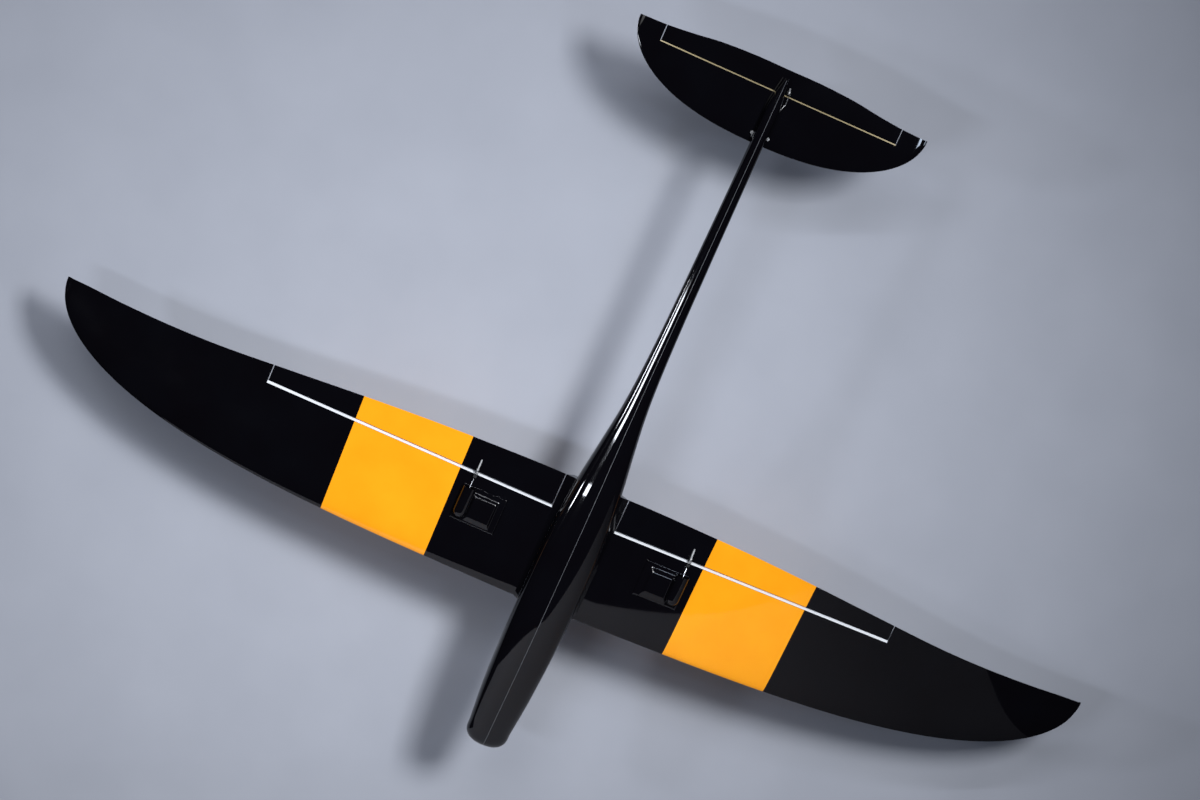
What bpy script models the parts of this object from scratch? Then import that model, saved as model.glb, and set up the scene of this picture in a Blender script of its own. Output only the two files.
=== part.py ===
"""A moulded composite glider of 1.25 m span: a two-piece pod and boom, plug-in wing panels with
flaperons worked by a servo in each panel, a flat tailplane with one elevator, and a fixed fin.

Lengths are in millimetres and are turned to metres as each mesh is finished.
X runs to the left wing tip, Y towards the tail and Z up. The design's own zero is on the
belly's flat, under the wing; DESIGN_FRAME moves it so that the origin is below the middle
of the glider's box."""

import math

import bmesh
import bpy
from mathutils import Matrix, Vector

for old in list(bpy.data.objects):
    bpy.data.objects.remove(old, do_unlink=True)

MM = 0.001
GAP = 0.3
BOX_MIDDLE_Y = 190.0

# wing
HALF_SPAN = 626.3
DIHEDRAL = math.radians(3.7)
HINGE_Y = 57.3
HINGE_Z = 33.0
ROOT_LEAD = -53.5
TIP_Y = 75.2
LEAD_POWER = 3.8
TRAIL_LINE = [(0, 96.5), (60, 96.5), (130, 94.2), (200, 91), (280, 85.5), (360, 79), (440, 72.8),
              (500, 71), (560, 72.2), (600, 74.5), (625, 75.2)]
WING_THICKNESS = 0.072
WING_CAMBER = 0.02
FILLET_START = 38.0
FILLET_RADIUS = 8.0

# flaperon
FLAP_ROOT = 38.4
FLAP_TIP = 380.8
FLAP_END_GAP = 0.9
HINGE_GAP = 4.0
SKIN_LIP = 0.7
LIP_GAP = 1.0

# pod and boom: half width, widest height, belly line and top line, each along Y
NOSE_Y = -226.0
NOSE_CAP = 18.0
BOOM_END = 593.0
WALL = 1.2
HALF_WIDTH = [(-204, 24.6), (-160, 28.6), (-120, 30.6), (-70, 31.9), (0, 32), (50, 30.5), (85, 28),
              (110, 25.4), (150, 20), (190, 15), (230, 12.1), (290, 10), (370, 8.8), (450, 8),
              (540, 7.5), (562, 7.2), (593, 1.4)]
WIDEST = [(-204, 24.5), (-145, 21.5), (-115, 18.5), (-70, 15), (0, 14.5), (60, 16), (110, 17.5),
          (150, 17.8), (210, 15.8), (290, 13.2), (370, 11.4), (470, 9.8), (560, 9.2), (593, 5.2)]
BELLY = [(-204, 9.5), (-150, 4), (-115, 1.2), (-80, -0.4), (-50, -0.7), (50, -0.7), (90, 0.3),
         (130, 3), (170, 5), (230, 6.2), (290, 5.9), (370, 4.8), (450, 3.6), (530, 2.2), (593, 2)]
BACK = [(-204, 41), (-150, 50.5), (-100, 55.5), (-50, 58), (0, 57.5), (50, 53), (90, 46),
        (130, 38), (170, 32), (230, 26), (290, 22.5), (370, 19.9), (450, 18.2), (520, 17.1),
        (572, 16.2), (593, 8)]
POD_POWER = 2.25
CAP_POWER = 2.4
BOOM_TAPER_START = 562.0

# canopy, seen from above
CANOPY_MIDDLE = -118.0
CANOPY_HALF_LENGTH = 62.0
CANOPY_HALF_WIDTH = 21.0
CANOPY_POWER = 2.6

# tail
TAIL_HINGE_Y = 575.0
TAIL_HINGE_Z = 20.5
TAIL_HALF_SPAN = 170.8
TAIL_LEAD = 514.6
TAIL_TIP_Y = 592.2
TAIL_LEAD_POWER = 2.4
TAIL_TRAIL = [(0, 602), (40, 602), (80, 599.8), (110, 596), (140, 593.2), (170.8, 592.2)]
TAIL_THICKNESS = 0.055
TAIL_SEAT_Z = 16.3
ELEVATOR_HALF = 139.6
ELEVATOR_GAP = 2.0
FIN_HEIGHT = 118.0
FIN_FOOT_HALF = 12.0
TAIL_LIP = 0.6
TAIL_END_GAP = 0.8
SCREW_X = 9.5
SCREW_Y = -50.0
SCREW_RADIUS = 1.0
SCREW_HEAD_RADIUS = 1.9

# control linkages: a horn's hole from its hinge axis, and so also an arm's hole from its shaft
FLAP_HORN = (4.0, -9.0)
FLAP_SHAFT = (-34.0, -3.6)
FLAP_LINK_X = 129.5
TAIL_HORN = (5.0, -9.0)
TAIL_SHAFT = (-43.0, 22.0)
TAIL_LINK_X = -9.2
TAIL_ROD_X = -2.6
TAIL_ROD_STRAIGHT_Y = (100.0, 543.0)
TAIL_ROD_OUT_Y = 566.0
PIN_RADIUS = 0.6
PIN_HOLE = 0.95
FLAP_WIRE_RADIUS = 0.75
TAIL_WIRE_RADIUS = 0.7
FLAP_HORN_HALF = 0.8
TAIL_HORN_HALF = 0.7
ARM_TIP_RADIUS = 1.6
ARM_EYE_RADIUS = 3.1
ARM_HUB_RADIUS = 2.7
ARM_THICKNESS = 1.4
ARM_FACES_X = (122.0, 127.8)
CLEVIS_REACH = 9.0
CLEVIS_HALF_DEPTH = 1.1
SERVO_NECK_RADIUS = 2.6

# the wing's joiner rod and each panel's two locating pins: (y, z) in the panel's axes
JOINER_AT = (-62.0, -2.7)
JOINER_RADIUS = 3.5
JOINER_REACH = 120.0
LOCATORS = (("front", (-95.0, -4.2)), ("rear", (-12.0, -2.9)))
LOCATOR_RADIUS = 1.5
LOCATOR_X = (22.0, 50.0)

# servo cover on the wing's underside
COVER_X = (85.0, 138.0)
COVER_Y = (-57.3, -14.3)
COVER_WALL = 0.8
BLISTER_X = (94.0, 120.5)
BLISTER_DEPTH = 3.8
HOOD_RADIUS = 8.2
HOOD_Y = (-54.0, -17.0)
HOOD_Z = -9.0
COVER_MIDDLE = (111.0, -40.0)

# wing servo, under the cover, and the bay in the wing that it sits in
SERVO_LOW = (96.5, -48.0, -8.6)
SERVO_HIGH = (119.0, -27.4, 0.6)
SERVO_BAY_LOW = (94.5, -55.0, -30.0)
SERVO_BAY_HIGH = (135.0, -17.0, 1.0)

# inside the pod
BALLAST_Y = (-214, -210, -205, -198, -186)
BATTERY_LOW, BATTERY_HIGH = (-16, -165, 12), (16, -101, 32)
RECEIVER_LOW, RECEIVER_HIGH = (6, 8, 7), (26, 42, 19)
TRAY_LOW, TRAY_HIGH = (-27, -74, 12.0), (27, -24, 14.0)
TAIL_SERVO_LOW, TAIL_SERVO_HIGH = (2, -58, 16.0), (23, -35, 28)


def along(knots, x):
    """The value at x of the smooth line through (x, value) knots."""
    if x <= knots[0][0]:
        return knots[0][1]
    if x >= knots[-1][0]:
        return knots[-1][1]
    i = next(k for k in range(len(knots) - 1) if x <= knots[k + 1][0])

    def slope(k):
        before, after = knots[max(k - 1, 0)], knots[min(k + 1, len(knots) - 1)]
        return (after[1] - before[1]) / (after[0] - before[0])

    (x0, y0), (x1, y1) = knots[i], knots[i + 1]
    run = x1 - x0
    t = (x - x0) / run
    return ((2 * t**3 - 3 * t**2 + 1) * y0 + (t**3 - 2 * t**2 + t) * run * slope(i)
            + (3 * t**2 - 2 * t**3) * y1 + (t**3 - t**2) * run * slope(i + 1))


def finish(name, colour, roughness, metallic=0.0):
    """A Principled BSDF material of one sub-part."""
    material = bpy.data.materials.new(name)
    material.use_nodes = True
    shader = material.node_tree.nodes["Principled BSDF"]
    shader.inputs["Base Color"].default_value = (*colour, 1.0)
    shader.inputs["Roughness"].default_value = roughness
    shader.inputs["Metallic"].default_value = metallic
    return material


def frame(name, parent, at=(0, 0, 0), turn=(0, 0, 0)):
    """An empty that carries the pieces built in its own axes."""
    empty = bpy.data.objects.new(name, None)
    bpy.context.scene.collection.objects.link(empty)
    empty.parent = parent
    empty.location = Vector(at) * MM
    empty.rotation_euler = turn
    return empty


def piece(name, mesh, parent, colour=None, roughness=0.4, metallic=0.0, at=(0, 0, 0), side=1):
    """Turns a bmesh in millimetres into an object; side -1 mirrors it to the right."""
    bmesh.ops.scale(mesh, vec=(side * MM, MM, MM), verts=mesh.verts)
    bmesh.ops.recalc_face_normals(mesh, faces=mesh.faces)
    data = bpy.data.meshes.new(name)
    mesh.to_mesh(data)
    mesh.free()
    made = bpy.data.objects.new(name, data)
    bpy.context.scene.collection.objects.link(made)
    made.parent = parent
    made.location = Vector((side * at[0], at[1], at[2])) * MM
    if colour:
        data.materials.append(finish(name + "_finish", colour, roughness, metallic))
        data.shade_smooth()
        data.set_sharp_from_angle(angle=math.radians(35))
    else:
        made.hide_render = True
        made.display_type = "WIRE"
    return made


def boolean(target, operation, *tools):
    """Adds one Boolean for each tool to the target."""
    for tool in tools:
        step = target.modifiers.new(operation.lower() + "_" + tool.name, "BOOLEAN")
        step.operation = operation
        step.solver = "EXACT"
        step.object = tool
    return target


def loft(rings):
    """A closed skin over rings of equal length, capped at both ends."""
    mesh = bmesh.new()
    loops = [[mesh.verts.new(point) for point in ring] for ring in rings]
    for first, second in zip(loops, loops[1:]):
        for i in range(len(first)):
            j = (i + 1) % len(first)
            mesh.faces.new((first[i], first[j], second[j], second[i]))
    mesh.faces.new(loops[0])
    mesh.faces.new(loops[-1])
    return mesh


def spanwise(outline, low, high):
    """A prism along X: outline holds (y, z) points."""
    return loft([[(x, y, z) for y, z in outline] for x in (low, high)])


def upright(outline, low, high):
    """A prism along Z: outline holds (x, y) points."""
    return loft([[(x, y, z) for x, y in outline] for z in (low, high)])


def block(low, high, soften=0.0):
    """A box between two corners, with its edges bevelled if soften is given."""
    (x0, y0, z0), (x1, y1, z1) = low, high
    mesh = spanwise([(y0, z0), (y1, z0), (y1, z1), (y0, z1)], x0, x1)
    if soften:
        bmesh.ops.bevel(mesh, geom=mesh.edges, offset=soften, segments=1, affect="EDGES")
    return mesh


def pin(start, end, radius, sides=12):
    """A round bar from start to end."""
    start, end = Vector(start), Vector(end)
    mesh = bmesh.new()
    turn = (end - start).to_track_quat("Z", "Y").to_matrix().to_4x4()
    place = Matrix.Translation((start + end) / 2) @ turn
    bmesh.ops.create_cone(mesh, cap_ends=True, segments=sides, radius1=radius, radius2=radius,
                          depth=(end - start).length, matrix=place)
    return mesh


def wire(name, points, radius, parent, colour, roughness, metallic, at=(0, 0, 0)):
    """A bent wire or bar along straight runs, with filled ends."""
    line = bpy.data.curves.new(name, "CURVE")
    line.dimensions = "3D"
    line.bevel_depth = radius * MM
    line.bevel_resolution = 2
    line.use_fill_caps = True
    spline = line.splines.new("POLY")
    spline.points.add(len(points) - 1)
    for target, point in zip(spline.points, points):
        target.co = (*(Vector(point) * MM), 1.0)
    line.materials.append(finish(name + "_finish", colour, roughness, metallic))
    made = bpy.data.objects.new(name, line)
    bpy.context.scene.collection.objects.link(made)
    made.parent = parent
    made.location = Vector(at) * MM
    return made


def rounded(half_x, half_y, middle, power, count=28):
    """A superellipse outline as (x, y) points."""
    points = []
    for i in range(count):
        angle = 2 * math.pi * i / count
        c, s = math.cos(angle), math.sin(angle)
        points.append((half_x * math.copysign(abs(c) ** (2 / power), c),
                       middle + half_y * math.copysign(abs(s) ** (2 / power), s)))
    return points


# ---------------------------------------------------------------- colours
BLACK_GEL = (0.012, 0.012, 0.014)
WHITE_TAPE = (0.83, 0.85, 0.88)
BEIGE_TAPE = (0.62, 0.53, 0.38)
CARBON = (0.02, 0.02, 0.022)
STEEL = (0.55, 0.56, 0.58)
SERVO_BLUE = (0.03, 0.05, 0.10)
NYLON = (0.78, 0.78, 0.76)
PLYWOOD = (0.52, 0.36, 0.19)
LEAD = (0.22, 0.22, 0.23)
WRAP = (0.05, 0.16, 0.42)
CIRCUIT_CASE = (0.04, 0.04, 0.05)

DESIGN_FRAME = frame("design_frame", None, at=(0, -BOX_MIDDLE_Y, 0))


# ---------------------------------------------------------------- pod and boom
def pod_ring(y, inset, count=24):
    """The pod's section at y, drawn in from its outer skin by inset."""
    cap = 1.0
    front = NOSE_Y + NOSE_CAP
    if y < front:
        cap = max(0.0, 1 - ((front - y) / NOSE_CAP) ** CAP_POWER) ** (1 / CAP_POWER)
    middle = along(WIDEST, y)
    half = max(along(HALF_WIDTH, y) * cap - inset, 0.15)
    up = max((along(BACK, y) - middle) * cap - inset, 0.15)
    down = max((middle - along(BELLY, y)) * cap - inset, 0.15)
    ring = []
    for i in range(count):
        angle = 2 * math.pi * (i + 0.5) / count
        c, s = math.cos(angle), math.sin(angle)
        x = half * math.copysign(abs(c) ** (2 / POD_POWER), c)
        z = math.copysign(abs(s) ** (2 / POD_POWER), s)
        ring.append((x, y, middle + z * (up if s > 0 else down)))
    return ring


def pod_solid(inset, nose, tail):
    """The pod and boom as one solid between two stations, drawn in by inset."""
    front = NOSE_Y + NOSE_CAP
    cap = [front - NOSE_CAP * math.sin(math.radians(a)) for a in (80, 65, 50, 35, 18)]
    body = [front + (BOOM_TAPER_START - front) * i / 30 for i in range(31)]
    stations = [nose] + [y for y in cap + body + [572, 583] if nose + 1 < y < tail - 1] + [tail]
    return loft([pod_ring(y, inset) for y in stations])


def far_box(low, high):
    """A cutter reaching well past the glider."""
    return piece("cutter", block(low, high), DESIGN_FRAME)


pod_inside = piece("pod_inside", pod_solid(WALL, NOSE_Y + 2.5, 570), DESIGN_FRAME)
pod_clearance = piece("pod_clearance", pod_solid(-GAP, NOSE_Y - GAP, BOOM_END + GAP), DESIGN_FRAME)
left_of_seam = far_box((-100, -300, -50), (GAP / 2, 700, 150))
right_of_seam = far_box((-GAP / 2, -300, -50), (100, 700, 150))
under_belly = far_box((-100, -300, -50), (100, 700, 0))
tail_seat = far_box((-30, 508, TAIL_SEAT_Z), (30, 700, 80))
hatch_hole = piece("hatch_hole", upright(rounded(CANOPY_HALF_WIDTH, CANOPY_HALF_LENGTH,
                   CANOPY_MIDDLE, CANOPY_POWER), 20, 90), DESIGN_FRAME)
rod_exit = far_box((-14, 544, 8), (-3, 570, 15.0))

for name, half_cut in (("fuselage_left_shell", left_of_seam), ("fuselage_right_shell", right_of_seam)):
    shell = piece(name, pod_solid(0, NOSE_Y, BOOM_END), DESIGN_FRAME, BLACK_GEL, 0.08)
    boolean(shell, "DIFFERENCE", pod_inside, half_cut, hatch_hole, under_belly, tail_seat)
left_shell = bpy.data.objects["fuselage_left_shell"]
right_shell = bpy.data.objects["fuselage_right_shell"]
boolean(right_shell, "DIFFERENCE", rod_exit)

hatch_fill = piece("hatch_fill", upright(rounded(CANOPY_HALF_WIDTH - GAP, CANOPY_HALF_LENGTH - GAP,
                   CANOPY_MIDDLE, CANOPY_POWER), 22, 90), DESIGN_FRAME)
canopy = piece("canopy", pod_solid(0, NOSE_Y, BOOM_END), DESIGN_FRAME, BLACK_GEL, 0.08)
boolean(canopy, "DIFFERENCE", pod_inside)
boolean(canopy, "INTERSECT", hatch_fill)


# ---------------------------------------------------------------- lifting surfaces
def foil(s, thickness, camber):
    """Top and bottom of a thin section of unit chord at the fraction s from its nose."""
    half = 5 * thickness * (0.2969 * math.sqrt(s) - 0.1260 * s - 0.3516 * s**2
                            + 0.2843 * s**3 - 0.1015 * s**4) + 0.0017 * s
    middle = 4 * camber * s * (1 - s)
    return middle + half, middle - half


def foil_ring(x, lead, trail, thickness, camber, flare=0.0, steps=12):
    """A section at x whose top skin passes through the hinge line, y = 0 and z = 0."""
    chord = trail - lead
    hinge = foil(min(max(-lead / chord, 0.0), 0.95), thickness, camber)[0] * chord
    shares = [0.5 - 0.5 * math.cos(math.pi * i / steps) for i in range(steps + 1)]
    top, bottom = [], []
    for s in shares:
        up, down = foil(s, thickness, camber)
        spread = flare * min(1.0, s / 0.08) ** 0.5
        y = lead + s * chord - flare * 0.5 * (1 - s) + flare * 0.2 * s
        top.append((x, y, up * chord - hinge + spread))
        bottom.append((x, y, down * chord - hinge - spread))
    return top[::-1] + bottom[1:]


def wing_lead(x):
    return TIP_Y - HINGE_Y - (TIP_Y - ROOT_LEAD) * math.sqrt(1 - (x / HALF_SPAN) ** LEAD_POWER)


def wing_trail(x):
    return along(TRAIL_LINE, x) - HINGE_Y


def wing_ring(x):
    reach = min(max(FILLET_START - x, 0.0), FILLET_RADIUS * 0.98)
    flare = FILLET_RADIUS - math.sqrt(FILLET_RADIUS**2 - reach**2)
    return foil_ring(x, wing_lead(x), wing_trail(x), WING_THICKNESS, WING_CAMBER, flare)


def wing_solid():
    """A whole panel, from inside the pod to the tip."""
    root = [22, 30.2, 30.8, 32, 34, 36]
    reach = HALF_SPAN - 0.2 - FILLET_START
    panel = [FILLET_START + reach * math.sin(math.pi / 2 * i / 17) for i in range(18)]
    return loft([wing_ring(x) for x in root + panel])


def underside(x, y):
    """Height of the wing's lower skin in the panel's own axes."""
    lead, chord = wing_lead(x), wing_trail(x) - wing_lead(x)
    hinge = foil(-lead / chord, WING_THICKNESS, WING_CAMBER)[0]
    return (foil((y - lead) / chord, WING_THICKNESS, WING_CAMBER)[1] - hinge) * chord


def step_outline(edge, lip_edge, lip):
    """Aft of a hinge face that steps in under the top skin: (y, z) points of a deep prism."""
    return [(edge, -60), (90, -60), (90, 60), (lip_edge, 60), (lip_edge, -lip), (edge, -lip)]


def slanted(y0, y1, low, high, middle_x=COVER_MIDDLE[0]):
    """A plate's (y, z) outline from low to high, measured from the wing's lower skin."""
    return [(y0, underside(middle_x, y0) + low), (y1, underside(middle_x, y1) + low),
            (y1, underside(middle_x, y1) + high), (y0, underside(middle_x, y0) + high)]


def blister_outline(inset):
    """Side view of the raised box over the servo: a front ramp, a flat and an aft drop."""
    base = underside(*COVER_MIDDLE)
    deep = base - BLISTER_DEPTH + inset
    return [(-54.3 + inset * 1.6, base + 4), (-54.3 + inset * 1.6, base + inset * 0.5),
            (-46.5 + inset * 0.4, deep), (-26.5 - inset * 0.6, deep - 0.1 + inset * 0.2),
            (-25.2 - inset, base - 0.9 + inset * 0.4), (-20.5 - inset, base - 0.5 + inset * 0.4),
            (-19.8 - inset, base + 4)]


def hood_solid(inset, aft, roof):
    """The half-round hood over the servo arm, with a rounded front and an open aft end."""
    rings = []
    radius = HOOD_RADIUS - inset
    front = HOOD_Y[0] + inset
    stations = [front + radius * (1 - math.cos(math.radians(a))) for a in (10, 35, 60, 90)]
    for y in stations + [aft]:
        round_off = max(0.0, 1 - (y - front) / radius)
        r = radius * math.sqrt(max(0.0, 1 - round_off**2))
        arc = [(FLAP_LINK_X + r * math.cos(a), y, HOOD_Z + r * math.sin(a))
               for a in (math.pi + math.pi * i / 10 for i in range(11))]
        rings.append(arc + [(FLAP_LINK_X + r, y, roof), (FLAP_LINK_X - r, y, roof)])
    return loft(rings)


def hinge_strip_ring(x, half_gap, depth, lip):
    """The filler along a hinge: fixed to the front web, sloping up to the hinge line."""
    low = depth + GAP
    roof = -lip - 0.35
    toe = half_gap * 0.55
    return [(x, -half_gap + GAP, low), (x, -half_gap * 0.45, low),
            (x, toe, roof - 0.8 * half_gap / 2), (x, -0.1, roof), (x, -half_gap + GAP, roof)]


def make_panel(word, side):
    """One wing panel with everything that rides on it."""
    panel = frame("panel_frame_" + word, DESIGN_FRAME, at=(0, HINGE_Y, HINGE_Z),
                  turn=(0, -side * DIHEDRAL, 0))

    def made(name, mesh, colour=None, roughness=0.4, metallic=0.0, at=(0, 0, 0)):
        return piece(name + "_" + word, mesh, panel, colour, roughness, metallic, at, side)

    half_gap = HINGE_GAP / 2
    half_lip = LIP_GAP / 2
    flap_bay = made("flap_bay", spanwise(step_outline(-half_gap, -half_lip, SKIN_LIP),
                    FLAP_ROOT - FLAP_END_GAP, FLAP_TIP + FLAP_END_GAP))
    flap_region = made("flap_region", spanwise(step_outline(half_gap, half_lip, SKIN_LIP),
                       FLAP_ROOT, FLAP_TIP))
    cover_bed = made("cover_bed", spanwise(slanted(COVER_Y[0] - GAP, COVER_Y[1] + GAP, -9, 0.6),
                     COVER_X[0] - GAP, COVER_X[1] + GAP))
    servo_bay = made("servo_bay", block(SERVO_BAY_LOW, SERVO_BAY_HIGH))
    joiner_bore = made("joiner_bore", pin((10, *JOINER_AT), (JOINER_REACH + 4, *JOINER_AT),
                       JOINER_RADIUS + GAP))
    pin_bores = [made("pin_bore", pin((10, *place), (LOCATOR_X[1] + 2, *place), LOCATOR_RADIUS + GAP))
                 for _, place in LOCATORS]

    wing = made("wing", wing_solid(), BLACK_GEL, 0.08)
    boolean(wing, "DIFFERENCE", pod_clearance, flap_bay, cover_bed, servo_bay, joiner_bore, *pin_bores)
    boolean(left_shell if side > 0 else right_shell, "DIFFERENCE", joiner_bore, *pin_bores)

    flaperon = made("flaperon", wing_solid(), BLACK_GEL, 0.08)
    boolean(flaperon, "INTERSECT", flap_region)

    ends = (FLAP_ROOT - FLAP_END_GAP + GAP, FLAP_TIP + FLAP_END_GAP - GAP)
    strip = [hinge_strip_ring(x, half_gap, underside(x, -half_gap), SKIN_LIP)
             for x in [ends[0] + (ends[1] - ends[0]) * i / 6 for i in range(7)]]
    made("flaperon_hinge_strip", loft(strip), WHITE_TAPE, 0.55)

    cover = made("servo_cover", spanwise(slanted(*COVER_Y, -COVER_WALL + 0.2, 0.3), *COVER_X),
                 BLACK_GEL, 0.12)
    skin = underside(*COVER_MIDDLE)
    blister = made("blister", spanwise(blister_outline(0), *BLISTER_X))
    hood = made("hood", hood_solid(0, HOOD_Y[1], skin + 0.1))
    trim = made("cover_trim", spanwise(slanted(-80, 20, 0.3, 20), 80, 145))
    blister_inside = made("blister_inside", spanwise(blister_outline(COVER_WALL),
                          BLISTER_X[0] + COVER_WALL, BLISTER_X[1] - COVER_WALL))
    hood_inside = made("hood_inside", hood_solid(COVER_WALL, HOOD_Y[1] + 9, skin + 4))
    boolean(cover, "UNION", blister, hood)
    boolean(cover, "DIFFERENCE", trim, blister_inside, hood_inside)

    servo = made("wing_servo", block(SERVO_LOW, SERVO_HIGH, 0.5), SERVO_BLUE, 0.35)
    lugs = made("servo_lugs", block((112, -52.6, -6.2), (113.4, -22.8, -0.6)))
    neck = made("servo_neck", pin((118, *FLAP_SHAFT), (121.6, *FLAP_SHAFT), SERVO_NECK_RADIUS, 16))
    boolean(servo, "UNION", lugs, neck)

    along_arm = Vector((0, *FLAP_HORN))
    make_arm("wing_servo_arm_" + word, panel, (0, *FLAP_SHAFT), *ARM_FACES_X, along_arm, side)

    rod_start = Vector((0, *FLAP_SHAFT)) + along_arm
    run = Vector((0, *FLAP_HORN)) - rod_start
    tilt = math.atan2(run.z, run.y)
    rod_frame = frame("flaperon_rod_frame_" + word, panel, at=rod_start, turn=(tilt, 0, 0))
    link_x = side * FLAP_LINK_X
    wire("flaperon_pushrod_" + word, [(side * 125.0, 0, 0), (link_x, 0, 0), (link_x, 23.5, 0)],
         FLAP_WIRE_RADIUS, rod_frame, STEEL, 0.25, 1.0)
    make_clevis("flaperon_clevis_" + word, rod_frame, run.length, side)

    top = underside(FLAP_LINK_X, 4) - GAP
    outline = [(2.3, top), (16.2, top + 0.05), (15.4, top - 0.9), (8.2, -8.8), (5.8, -10.5),
               (4.2, -11.0), (2.7, -10.4), (2.1, -9.0)]
    horn = made("flaperon_horn", spanwise(outline, FLAP_LINK_X - FLAP_HORN_HALF,
                FLAP_LINK_X + FLAP_HORN_HALF), NYLON, 0.45)
    hole = made("horn_hole", pin((FLAP_LINK_X - 3, *FLAP_HORN), (FLAP_LINK_X + 3, *FLAP_HORN), PIN_HOLE))
    boolean(horn, "DIFFERENCE", hole)

    for place, at in LOCATORS:
        locator = pin((LOCATOR_X[0], *at), (LOCATOR_X[1], *at), LOCATOR_RADIUS)
        made("wing_pin_" + place, locator, STEEL, 0.3, 1.0)


def make_arm(name, parent, shaft, inner_x, outer_x, reach, side):
    """A servo arm: a hub on the shaft and a flat lever with a hole for the wire."""
    outline = []
    length = reach.length
    for i in range(9):
        a = math.radians(-90 + 180 * i / 8)
        outline.append((length + ARM_TIP_RADIUS * math.cos(a), ARM_TIP_RADIUS * math.sin(a)))
    for i in range(9):
        a = math.radians(90 + 180 * i / 8)
        outline.append((ARM_EYE_RADIUS * math.cos(a), ARM_EYE_RADIUS * math.sin(a)))
    turn = math.atan2(reach.z, reach.y)
    turned = [(u * math.cos(turn) - v * math.sin(turn), u * math.sin(turn) + v * math.cos(turn))
              for u, v in outline]
    thick = math.copysign(ARM_THICKNESS, outer_x - inner_x)
    arm = piece(name, spanwise(turned, outer_x - thick, outer_x), parent, NYLON, 0.4, 0, shaft, side)
    hub = piece(name + "_hub", pin((inner_x, 0, 0), (outer_x - thick / 2, 0, 0), ARM_HUB_RADIUS, 16), parent,
                at=shaft, side=side)
    hole = piece(name + "_hole", pin((outer_x - 4, reach.y, reach.z), (outer_x + 4, reach.y, reach.z),
                 PIN_HOLE), parent, at=shaft, side=side)
    boolean(arm, "UNION", hub)
    boolean(arm, "DIFFERENCE", hole)
    return arm


def make_clevis(name, parent, length, side):
    """A forked link on the rod's end, with its pin through the horn."""
    x = FLAP_LINK_X
    body = block((x - 1.9, length - CLEVIS_REACH, -CLEVIS_HALF_DEPTH),
                 (x + 1.9, length + 1.9, CLEVIS_HALF_DEPTH))
    clevis = piece(name, body, parent, NYLON, 0.35, 0, side=side)
    slot = piece(name + "_slot", block((x - 1.15, length - 6, -3), (x + 1.15, length + 4, 3)), parent,
                 side=side)
    bore = piece(name + "_bore", pin((x, length - CLEVIS_REACH - 1, 0), (x, length - 5, 0),
                 FLAP_WIRE_RADIUS + GAP), parent, side=side)
    axle = piece(name + "_axle", pin((x - 1.6, length, 0), (x + 1.6, length, 0), PIN_RADIUS), parent,
                 side=side)
    boolean(clevis, "DIFFERENCE", slot, bore)
    boolean(clevis, "UNION", axle)
    return clevis


for word, side in (("left", 1), ("right", -1)):
    make_panel(word, side)

joiner_y = HINGE_Y + JOINER_AT[0]
joiner_z = HINGE_Z + JOINER_AT[1]
reach_x, reach_z = JOINER_REACH * math.cos(DIHEDRAL), JOINER_REACH * math.sin(DIHEDRAL)
wire("wing_joiner", [(reach_x, joiner_y, joiner_z + reach_z), (0, joiner_y, joiner_z),
     (-reach_x, joiner_y, joiner_z + reach_z)], JOINER_RADIUS, DESIGN_FRAME, CARBON, 0.3, 0.0)


# ---------------------------------------------------------------- tail
def tail_lead(x):
    share = max(0.0, 1 - (abs(x) / TAIL_HALF_SPAN) ** TAIL_LEAD_POWER)
    return TAIL_TIP_Y - TAIL_HINGE_Y - (TAIL_TIP_Y - TAIL_LEAD) * math.sqrt(share)


def tail_trail(x):
    return along(TAIL_TRAIL, abs(x)) - TAIL_HINGE_Y


def tail_solid(grow=0.0):
    """The whole tailplane, from tip to tip."""
    half = [(TAIL_HALF_SPAN - 0.2) * math.sin(math.pi / 2 * i / 9) for i in range(10)]
    rings = []
    for x in [-x for x in half[:0:-1]] + half:
        ring = foil_ring(x, tail_lead(x) - grow, tail_trail(x) + grow, TAIL_THICKNESS, 0.0, steps=10)
        middle = sum(p[2] for p in ring) / len(ring)
        rings.append([(p[0], p[1], p[2] + math.copysign(grow, p[2] - middle)) for p in ring])
    return loft(rings)


TAIL_FRAME = frame("tail_frame", DESIGN_FRAME, at=(0, TAIL_HINGE_Y, TAIL_HINGE_Z))
elevator_bay = piece("elevator_bay", spanwise(step_outline(-ELEVATOR_GAP / 2, -0.4, TAIL_LIP),
                     -ELEVATOR_HALF - TAIL_END_GAP, ELEVATOR_HALF + TAIL_END_GAP), TAIL_FRAME)
elevator_region = piece("elevator_region", spanwise(step_outline(ELEVATOR_GAP / 2, 0.4, TAIL_LIP),
                        -ELEVATOR_HALF, ELEVATOR_HALF), TAIL_FRAME)
stabiliser = piece("stabiliser", tail_solid(), TAIL_FRAME, BLACK_GEL, 0.08)
boolean(stabiliser, "DIFFERENCE", elevator_bay)
elevator = piece("elevator", tail_solid(), TAIL_FRAME, BLACK_GEL, 0.08)
boolean(elevator, "INTERSECT", elevator_region)


def tail_depth(x):
    """Height of the tailplane's lower skin at the hinge."""
    ring = foil_ring(x, tail_lead(x), tail_trail(x), TAIL_THICKNESS, 0.0)
    lower = ring[len(ring) // 2:]
    return min(lower, key=lambda p: abs(p[1]))[2]


strip_half = ELEVATOR_HALF + TAIL_END_GAP - GAP
strip_rings = [hinge_strip_ring(-strip_half + 2 * strip_half * i / 8, ELEVATOR_GAP / 2,
               tail_depth(-strip_half + 2 * strip_half * i / 8), TAIL_LIP) for i in range(9)]
piece("elevator_hinge_strip", loft(strip_rings), TAIL_FRAME, BEIGE_TAPE, 0.6)

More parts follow.
